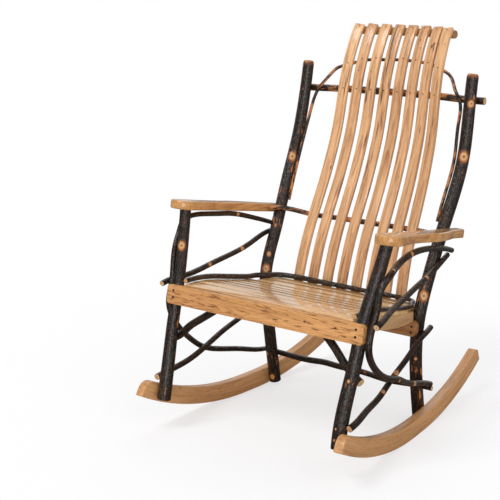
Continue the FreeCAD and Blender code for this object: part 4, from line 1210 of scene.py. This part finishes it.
bow_radius = 0.0095
slim_bow_radius = 0.0086
bow_radius_shares = {
    "left": (0.82, 0.95, 1.0, 1.0, 0.95, 0.85),
    "right": (0.80, 0.92, 0.85, 1.0, 1.0, 0.9),
}
left_bow_upper_shares = (
    (0.797, 0.191, 0.4536),
    (0.804, 0.139, 0.4673),
    (0.812, 0.065, 0.4809),
    (0.828, 0.001, 0.4909),
    (0.841, -0.065, 0.4964),
    (0.854, -0.129, 0.4955),
    (0.880, -0.205, 0.4860),
)
left_bow_lower_shares = (
    (0.867, -0.317, 0.2773),
    (0.854, -0.269, 0.2391),
    (0.842, -0.194, 0.2045),
    (0.838, -0.151, 0.1927),
    (0.806, -0.086, 0.1673),
    (0.777, -0.018, 0.1436),
)
right_bow_upper_shares = (
    (0.790, 0.194, 0.4464),
    (0.806, 0.134, 0.4655),
    (0.814, 0.047, 0.4900),
    (0.836, -0.034, 0.5100),
    (0.851, -0.099, 0.5190),
    (0.865, -0.161, 0.5270),
    (0.884, -0.209, 0.5300),
    (0.912, -0.240, 0.5218),
)
right_bow_lower_shares = (
    (0.865, -0.312, 0.2636),
    (0.850, -0.242, 0.2000),
    (0.838, -0.187, 0.1675),
    (0.804, -0.108, 0.1455),
    (0.775, -0.028, 0.1291),
)
# A stop beside a post has the height where the bow touches it and is moved from there by the
# other shares. A stop with no such height is a free point.
left_bow_front_shares = (
    (0.475, 0.004, 0, 0),
    (None, 0.905, -0.3005, 0.4536),
    (0.4165, 0.002, -0.006, 0),
    (0.362, 0, -0.002, 0),
    (None, 0.878, -0.340, 0.3136),
)
left_bow_end_shares = ((0.115, 0, 0, 0), (0.110, 0, 0.034, -0.0063))
right_bow_front_shares = (
    (0.495, 0, 0.009, 0),
    (0.474, 0, 0, 0),
    (0.432, 0, -0.005, 0),
    (0.377, 0, 0, 0),
    (None, 0.876, -0.335, 0.3182),
)
right_bow_end_shares = ((0.109, 0, -0.030, 0), (0.104, 0, 0, 0), (0.1035, 0, 0.022, -0.003))


def outside(posts, name, side, height_share, radius):
    """Where a pole's middle lies when it touches the outer side of a post."""
    return beside(posts[name], chair_height * height_share, (side, 0, 0), radius)


def bow_stops(posts, name, side, stops, radius):
    points = []
    for touch_share, x_share, y_share, z_share in stops:
        point = place(x_share * side, y_share, z_share)
        if touch_share is not None:
            point = outside(posts, name, side, touch_share, radius) + point
        points.append(point)
    return points


def bow(name, side, radius, upper, front, lower, end):
    """One bow: its run under the arm, down the front post, back, and past the rear post."""
    points = mirrored(upper, side) + bow_stops(front_posts, name, side, front, radius)
    points += mirrored(lower, side) + bow_stops(rear_posts, name, side, end, radius)
    return Route(points, radius, bow_radius_shares[name])


bows = {
    "left": bow(
        "left", 1, bow_radius, left_bow_upper_shares, left_bow_front_shares,
        left_bow_lower_shares, left_bow_end_shares,
    ),
    "right": bow(
        "right", -1, slim_bow_radius, right_bow_upper_shares, right_bow_front_shares,
        right_bow_lower_shares, right_bow_end_shares,
    ),
}
bow_bark = bark_material("bow_bark", sanded_share=0.25)
bow_knots = {
    "left": (
        (0.3280, -0.1002, 0.5509, 0.0055),
        (0.3476, -0.2295, 0.5383, 0.0040),
        (0.3239, -0.1402, 0.2081, 0.0035),
        (0.3001, -0.0080, 0.1560, 0.0065),
    ),
    "right": ((-0.3059, -0.0174, 0.5572, 0.0045),),
}
for name, side in sides:
    grown("side_bow_" + name, bows[name], bow_bark, knots=bow_knots[name])

# Braces
# Saplings nailed across: from the bows' fronts up to the rear posts, from the front posts'
# feet up to the rear posts, and from behind the apron down past the front posts.

arm_brace_radius = 0.0082
lower_brace_radius = 0.0082
front_brace_radius = 0.011
arm_brace_shares = {
    "left": (
        (0.890, -0.226, 0.3870),
        (0.861, -0.140, 0.3950),
        (0.838, -0.054, 0.4060),
        (0.816, 0.032, 0.4155),
    ),
    "right": (
        (0.886, -0.244, 0.3755),
        (0.859, -0.138, 0.3873),
        (0.841, -0.066, 0.3964),
        (0.820, 0.012, 0.4082),
        (0.812, 0.044, 0.4155),
    ),
}
arm_brace_bow_shares = {"left": 0.3764, "right": 0.3720}
arm_brace_post_share = 0.4365
arm_brace_front_stub_shares = (0.004, -0.022, -0.0037)
arm_brace_end_shares = {"left": (0.042, 0.008), "right": (0.030, 0.001)}
arm_brace_end_x_share = 0.012
arm_brace_radius_shares = (1.05, 1.0, 0.95)
bow_front_from = 0.35
bow_front_to = 0.60
lower_brace_shares = {
    "left": (
        (0.843, -0.356, 0.1450),
        (0.824, -0.308, 0.1509),
        (0.809, -0.237, 0.1609),
        (0.789, -0.156, 0.1836),
        (0.781, -0.097, 0.2018),
        (0.775, -0.032, 0.2236),
        (0.764, 0.030, 0.2455),
    ),
    "right": (
        (0.840, -0.350, 0.1420),
        (0.814, -0.280, 0.1527),
        (0.794, -0.192, 0.1770),
        (0.786, -0.098, 0.2035),
        (0.775, -0.032, 0.2191),
        (0.764, 0.030, 0.2370),
    ),
}
lower_brace_top_shares = {"left": 0.258, "right": 0.2485}
lower_brace_foot_share = 0.1385
lower_brace_foot_x_share = 0.003
lower_brace_foot_stub_shares = (0, -0.008, -0.001)
lower_brace_end_shares = (0.004, 0.034, 0.0085)
lower_brace_radius_shares = (1.15, 1.0, 1.0)
front_brace_x_shares = (0.44, 0.541, 0.610, 0.674)
front_brace_depth_shares = (0, 0.25, 0.50, 0.75)
front_brace_height_shares = {
    "left": (0.3382, 0.3127, 0.2900, 0.2664),
    "right": (0.3250, 0.3010, 0.2850, 0.2690),
}
front_brace_post_share = 0.243
front_brace_end_shares = (0.036, -0.003, -0.006)
apron_top_share = 0.3736
apron_front_share = -0.3505
apron_top_height = chair_height * apron_top_share
apron_front_y = frame_depth * apron_front_share
apron_thickness = 0.019
apron_lean = 0.007
apron_height = 0.054
apron_angle = atan(apron_lean / apron_height)


def apron_back_y(height):
    """Where the apron's back face lies at a height."""
    drop = apron_top_height - height
    return apron_front_y + apron_thickness / cos(apron_angle) - drop * apron_lean / apron_height


brace_bark = bark_material("brace_bark", sanded_share=0.15)
arm_brace_knots = {
    "left": ((0.3148, 0.0114, 0.4598, 0.0050), (0.3330, -0.2080, 0.4310, 0.0030)),
    "right": ((-0.3035, -0.0005, 0.4505, 0.0055), (-0.3176, -0.1383, 0.4285, 0.0050)),
}
lower_knots = {
    "left": ((0.2994, -0.1161, 0.2199, 0.0070), (0.3064, -0.1949, 0.1918, 0.0050)),
    "right": (),
}
for name, side in sides:
    post_spot = outside(rear_posts, name, side, arm_brace_post_share, arm_brace_radius)
    bow_spot = beside(
        bows[name],
        chair_height * arm_brace_bow_shares[name],
        (side, 0, 0),
        arm_brace_radius + post_clearance / 2,
        bow_front_from,
        bow_front_to,
    )
    points = [bow_spot + mirrored([arm_brace_front_stub_shares], side)[0], bow_spot]
    points += mirrored(arm_brace_shares[name], side)
    end_y_share, end_rise_share = arm_brace_end_shares[name]
    end = place(-side * arm_brace_end_x_share, end_y_share, end_rise_share)
    points += [post_spot, post_spot + end]
    arm_brace = Route(points, arm_brace_radius, arm_brace_radius_shares)
    grown("arm_brace_" + name, arm_brace, brace_bark, knots=arm_brace_knots[name])

    front_spot = outside(front_posts, name, side, lower_brace_foot_share, lower_brace_radius)
    front_spot = front_spot + place(side * lower_brace_foot_x_share, 0, 0)
    rear_spot = outside(rear_posts, name, side, lower_brace_top_shares[name], lower_brace_radius)
    points = [front_spot + place(*lower_brace_foot_stub_shares)]
    points += mirrored(lower_brace_shares[name], side)
    points += [rear_spot, rear_spot + mirrored([lower_brace_end_shares], -side)[0]]
    lower_brace = Route(points, lower_brace_radius, lower_brace_radius_shares)
    grown("lower_brace_" + name, lower_brace, brace_bark, knots=lower_knots[name])

    heights = front_brace_height_shares[name]
    top_height = chair_height * heights[0]
    top_y = apron_back_y(top_height + front_brace_radius) + front_brace_radius + seat_gap
    crossing = beside(
        front_posts[name],
        chair_height * front_brace_post_share,
        behind,
        front_brace_radius + post_clearance / 2,
    )
    points = []
    for x_share, z_share, depth_share in zip(
        front_brace_x_shares, heights, front_brace_depth_shares
    ):
        spot = place(side * x_share, 0, z_share)
        spot[1] = top_y + (crossing[1] - top_y) * depth_share
        points.append(spot)
    points += [crossing, crossing + mirrored([front_brace_end_shares], side)[0]]
    grown("front_brace_" + name, Route(points, front_brace_radius), brace_bark)

# Rear stretcher
# A thin hickory pole with its bark on, across behind the feet of the rear posts. Its ends run
# on past the posts, and how it is fixed to them is hidden.

stretcher_radius = 0.0075
stretcher_shares = (
    (-0.353, 0.0900),
    (-0.207, 0.0935),
    (-0.074, 0.0920),
    (0.141, 0.0920),
    (0.369, 0.0860),
)
tie_height_share = 0.087
tie_swell_share = 1.18
stretcher_ends_x_shares = (-0.078, 0.089)
stretcher_radius_shares = (1.1, 1.3, 1.25, 1.1, 0.95)
tie_height = chair_height * tie_height_share
tie_radius = stretcher_radius * tie_swell_share
stretcher_left = beside(rear_posts["left"], tie_height, behind, tie_radius)
stretcher_right = beside(rear_posts["right"], tie_height, behind, tie_radius)
points = [stretcher_right + place(stretcher_ends_x_shares[0], 0, 0), stretcher_right]
for x_share, z_share in stretcher_shares:
    spot = place(x_share, 0, z_share)
    spot[1] = stretcher_left[1]
    points.append(spot)
points += [stretcher_left, stretcher_left + place(stretcher_ends_x_shares[1], 0, 0)]
stretcher = Route(points, stretcher_radius, stretcher_radius_shares)
grown("rear_stretcher", stretcher, brace_bark)

# Seat edge twig
# A thin hickory sapling with its bark on, nailed along the edge of the seat, over the slats'
# ends and across the back.

twig_radius = 0.007
twig_clearance = 0.0005
twig_radius_shares = (1.10, 1.18, 1.15, 0.95, 0.88, 0.95)
twig_side_shares = (-0.322, -0.275, -0.216, -0.125, -0.059, -0.009, 0.020)
twig_corner_shares = ((0.690, 0.030), (0.655, 0.050), (0.640, 0.074), (0.612, 0.094))
twig_back_x_shares = (0.53, 0.27)
seat_height_shares = (1.0, 0.998, 0.984, 0.959, 0.931, 0.904, 0.881, 0.869, 0.854)
seat_back_share = 0.1043
panel_front_x_share = 0.7375
panel_rear_x_share = 0.703
panel_rear_y_share = 0.0360
seat_front_y = apron_back_y(apron_top_height) + seat_gap
seat_back_y = frame_depth * seat_back_share
seat_depths = np.linspace(seat_front_y, seat_back_y, len(seat_height_shares))
seat_heights = [apron_top_height * share for share in seat_height_shares]
panel_front_x = half_width * panel_front_x_share
panel_rear_x = half_width * panel_rear_x_share
panel_run = frame_depth * panel_rear_y_share - seat_front_y
panel_slope = (panel_front_x - panel_rear_x) / panel_run
twig_back_y = seat_back_y + twig_radius / 3


def on_seat(x, y, radius_share):
    lift = twig_radius * radius_share + twig_clearance
    return np.array((x, y, np.interp(y, seat_depths, seat_heights) + lift))


def twig_side(side, radius_share):
    points = []
    for share in twig_side_shares:
        y = frame_depth * share
        x = panel_front_x - (y - seat_front_y) * panel_slope
        points.append(on_seat(side * x, y, radius_share))
    for x_share, y_share in twig_corner_shares:
        points.append(on_seat(side * half_width * x_share, frame_depth * y_share, radius_share))
    for share in twig_back_x_shares:
        points.append(on_seat(side * half_width * share, twig_back_y, radius_share))
    return points


right_share = max(twig_radius_shares[:3])
left_share = max(twig_radius_shares[3:])
twig_points = twig_side(-1, right_share)
twig_points += [on_seat(0, twig_back_y, (right_share + left_share) / 2)]
twig_points += twig_side(1, left_share)[::-1]
twig = Route(twig_points, twig_radius, twig_radius_shares)
grown("seat_edge_twig", twig, brace_bark)

# Screws and nails
# Black-oxide screws in the apron and the rear rail, small brown ones in the back slats and
# round nails in the hoop, all driven nearly flush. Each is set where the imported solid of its
# group has its head.

screw_head_radius = 0.0032
screw_head_height = 0.0017
screw_head_points = 24
screw_head_sunk = 0.0011
# The head's outline: shares of its radius and of its height, from the shank's foot inwards.
head_outline_shares = ((1.0, -0.7), (1.0, 0.0), (0.86, 0.55), (0.55, 0.86), (0.30, 0.97))
recess_reach_share = 0.6
recess_depth_share = 0.55
points_between_slots = 6
slot_points = (5, 0, 1)
steel_wear = ((900, 900, 900), 3.0, 0.6)
steel_wear_limits = (0.52, 0.70)
steel_roughness = 0.32
steel_wear_roughness = 0.3
black_oxide = (0.012, 0.011, 0.010, 1)
black_worn = (0.07, 0.05, 0.035, 1)
brown_oxide = (0.16, 0.075, 0.034, 1)
brown_worn = (0.30, 0.17, 0.085, 1)
far_out_share = 0.8


def screw_material(name, dark, worn_colour):
    """Steel under a thin oxide, worn in spots."""
    material, tree, shader = new_material(name)
    spot = Shade(tree).add("ShaderNodeTexCoord", {}, {}, "Object")
    worn = spot.noise(*steel_wear)
    colour = Shade(tree).colour(dark).mixed(worn_colour, worn.between(*steel_wear_limits))
    link(tree, colour, shader, "Base Color")
    link(tree, steel_roughness + worn * steel_wear_roughness, shader, "Roughness")
    shader.inputs["Metallic"].default_value = 0.3
    return material


def screw_head_mesh():
    """A low domed head with a cross recess, pointing along +Z, on a short shank."""
    work = bmesh.new()
    loops = []
    for reach, rise in head_outline_shares:
        loop = []
        for step in range(screw_head_points):
            angle = 2 * pi * step / screw_head_points
            in_slot = reach < recess_reach_share and step % points_between_slots in slot_points
            drop = recess_depth_share if in_slot else 0.0
            spot = (
                screw_head_radius * reach * cos(angle),
                screw_head_radius * reach * sin(angle),
                screw_head_height * (rise - drop),
            )
            loop.append(work.verts.new(spot))
        loops.append(loop)
    for lower, upper in zip(loops, loops[1:]):
        for step in range(screw_head_points):
            after = (step + 1) % screw_head_points
            work.faces.new((lower[step], lower[after], upper[after], upper[step]))
    work.faces.new(loops[-1])
    work.faces.new(loops[0][::-1])
    mesh = bpy.data.meshes.new("screw_head")
    work.to_mesh(mesh)
    work.free()
    return mesh


def fastener_places(node):
    """Where each fastener of a group has its head, and which way the head faces."""
    work = bmesh.new()
    work.from_mesh(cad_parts[node].data)
    bmesh.ops.remove_doubles(work, verts=work.verts, dist=merge_distance)
    left = set(work.verts)
    found = []
    for first in work.verts:
        if first not in left:
            continue
        left.remove(first)
        reached = [first]
        island = []
        while reached:
            vert = reached.pop()
            island.append(vert)
            for edge in vert.link_edges:
                other = edge.other_vert(vert)
                if other in left:
                    left.remove(other)
                    reached.append(other)
        spots = np.array([tuple(vert.co) for vert in island])
        centre = (spots.min(axis=0) + spots.max(axis=0)) / 2
        axis = np.linalg.svd(spots - spots.mean(axis=0), full_matrices=False)[2][0]
        runs = (spots - centre).dot(axis)
        away = np.linalg.norm(spots - centre - np.outer(runs, axis), axis=1)
        # The head is the wide end, so what lies far from the axis shows which way it faces.
        if runs[away > far_out_share * away.max()].mean() < 0:
            axis = -axis
            runs = -runs
        found.append((centre + axis * runs.max(), axis))
    work.free()
    return found


def fastener_tree():
    """Sets one head on each point of a mesh, turned to the point's facing."""
    group, inputs = new_tree(
        "Fasteners",
        {
            "Points": "Geometry",
            "Head": "Object",
            "Sunk": "Float",
            "Size": "Float",
            "Finish": "Material",
        },
    )
    new = Shade(group).add
    facing = new(
        "GeometryNodeInputNamedAttribute", {"data_type": "FLOAT_VECTOR"}, {"Name": "facing"}
    )
    sunk = new(
        "ShaderNodeVectorMath",
        {"operation": "SCALE"},
        {0: facing, "Scale": inputs["Sunk"] * -1},
    )
    points = new(
        "GeometryNodeSetPosition", {}, {"Geometry": inputs["Points"], "Offset": sunk}
    )
    turned = new("FunctionNodeAlignRotationToVector", {"axis": "Z"}, {"Vector": facing})
    head = new("GeometryNodeObjectInfo", {}, {"Object": inputs["Head"]}, "Geometry")
    set_heads = new(
        "GeometryNodeInstanceOnPoints",
        {},
        {"Points": points, "Instance": head, "Rotation": turned, "Scale": inputs["Size"]},
    )
    whole = new("GeometryNodeRealizeInstances", {}, {"Geometry": set_heads})
    end_tree(group, whole, inputs["Finish"])
    return group


head_object = bpy.data.objects.new("head_pattern", screw_head_mesh())
head_tree = fastener_tree()
black_screw = screw_material("black_screw", black_oxide, black_worn)
brown_screw = screw_material("brown_screw", brown_oxide, brown_worn)
fasteners = {
    "apron_screws": (1.0, black_screw),
    "rear_rail_screws": (1.0, black_screw),
    "crest_screws": (0.62, brown_screw),
    "hoop_screws": (0.55, brown_screw),
    "upper_rail_screws": (0.62, brown_screw),
    "hoop_nails": (0.8, brown_screw),
}
for node, (head_size, finish) in fasteners.items():
    places = fastener_places(node)
    mesh = bpy.data.meshes.new(node + "_points")
    mesh.from_pydata([tuple(spot) for spot, _ in places], [], [])
    carry(mesh, "facing", np.array([axis for _, axis in places]))
    piece = grow(
        new_piece(node + "_heads", mesh),
        head_tree,
        {"Head": head_object, "Sunk": screw_head_sunk, "Size": head_size, "Finish": finish},
    )
    seat_in_frame(piece, node)
bpy.data.objects.remove(head_object)

# Room
# A white studio floor that runs out of view, under four broad far lamps: the key high in front,
# a low one beside the camera, a fill on the chair's left and a weak one behind. The camera is
# a little higher than the chair, to its front left.

floor_reach = 60.0
floor_drop = 0.0002
floor_white = (0.80, 0.80, 0.80, 1)
floor_seen = (0.38, 0.38, 0.39, 1)
floor_glow = 0.64
floor_in_gloss = (0.16, 0.15, 0.14, 1)
white = (1, 1, 1, 1)

corners = [
    (x * floor_reach, y * floor_reach, 0) for x, y in ((-1, -1), (1, -1), (1, 1), (-1, 1))
]
mesh = bpy.data.meshes.new("floor")
mesh.from_pydata(corners, [], [(0, 1, 2, 3)])
floor = new_piece("floor", mesh)
floor.location.z = -floor_drop


def ray(tree, kind):
    """1 for rays of one kind, such as the camera's own, and 0 for the rest."""
    return Shade(tree).add("ShaderNodeLightPath", {}, {}, "Is %s Ray" % kind)


# The floor looks darker in the lacquer's reflections and shows a weaker shadow to the camera
# than it has for all other light.
paint, tree, shader = new_material("floor_white")
shader.inputs["Base Color"].default_value = floor_white
shader.inputs["Roughness"].default_value = 0.9
shader.inputs["Specular IOR Level"].default_value = 0.0
lit = Shade(tree, shader.outputs["BSDF"])
dim = Shade(tree).add("ShaderNodeBsdfDiffuse", {}, {"Color": floor_in_gloss})
lit = Shade(tree).add("ShaderNodeMixShader", {}, {0: ray(tree, "Glossy"), 1: lit, 2: dim})
pale = Shade(tree).add("ShaderNodeBsdfDiffuse", {}, {"Color": floor_seen})
glow = Shade(tree).add("ShaderNodeEmission", {}, {"Color": white, "Strength": floor_glow})
seen = Shade(tree).add("ShaderNodeAddShader", {}, {0: pale, 1: glow})
whole = Shade(tree).add("ShaderNodeMixShader", {}, {0: ray(tree, "Camera"), 1: lit, 2: seen})
tree.links.new(whole.socket, tree.nodes["Material Output"].inputs["Surface"])
mesh.materials.append(paint)

# The surroundings are white to the camera, plain grey light for the rest, and in the
# lacquer's reflections darker in front and brighter behind.
world_level = 0.46
gloss_drop = 0.38
gloss_rise = 0.75
gloss_limits = (0.35, 0.9)
behind_x = 0.6
behind_y = 0.8
world = bpy.data.worlds.new("studio")
bpy.context.scene.world = world
world.use_nodes = True
tree = world.node_tree
camera_ray = ray(tree, "Camera")
shown = camera_ray.maths("MAXIMUM", camera_ray, ray(tree, "Transmission"))
heading = Shade(tree).add("ShaderNodeTexCoord", {}, {}, "Generated")
rearward = heading.part(1) * behind_y - heading.part(0) * behind_x
in_gloss = rearward.between(*gloss_limits) * gloss_rise - gloss_drop
level = world_level + shown * (1 - world_level) + ray(tree, "Glossy") * in_gloss
backdrop = tree.nodes["Background"]
backdrop.inputs["Color"].default_value = white
tree.links.new(level.socket, backdrop.inputs["Strength"])


def sun(name, azimuth, elevation, strength, width):
    """A broad far lamp, so that the floor is evenly lit. Azimuth 0 is in front, 90 on the left."""
    data = bpy.data.lights.new(name, "SUN")
    data.energy = strength
    data.angle = radians(width)
    lamp = new_piece(name, data)
    lamp.rotation_euler = (radians(90 - elevation), 0, radians(azimuth))


sun("key", azimuth=-20, elevation=54, strength=1.10, width=20)
sun("front", azimuth=32, elevation=5, strength=1.05, width=30)
sun("fill", azimuth=75, elevation=40, strength=0.40, width=36)
sun("back", azimuth=200, elevation=50, strength=0.35, width=40)

camera_elevation = 14.194
camera_azimuth = 36.555
data = bpy.data.cameras.new("camera")
data.sensor_width = 36
data.lens = 86.4
data.clip_end = 200
camera = new_piece("camera", data)
camera.location = (1.7962, -2.7935, 1.3287)
camera.rotation_euler = (radians(90 - camera_elevation), 0, radians(camera_azimuth))
bpy.context.scene.camera = camera
bpy.context.scene.view_settings.view_transform = "Standard"

bpy.context.view_layer.update()
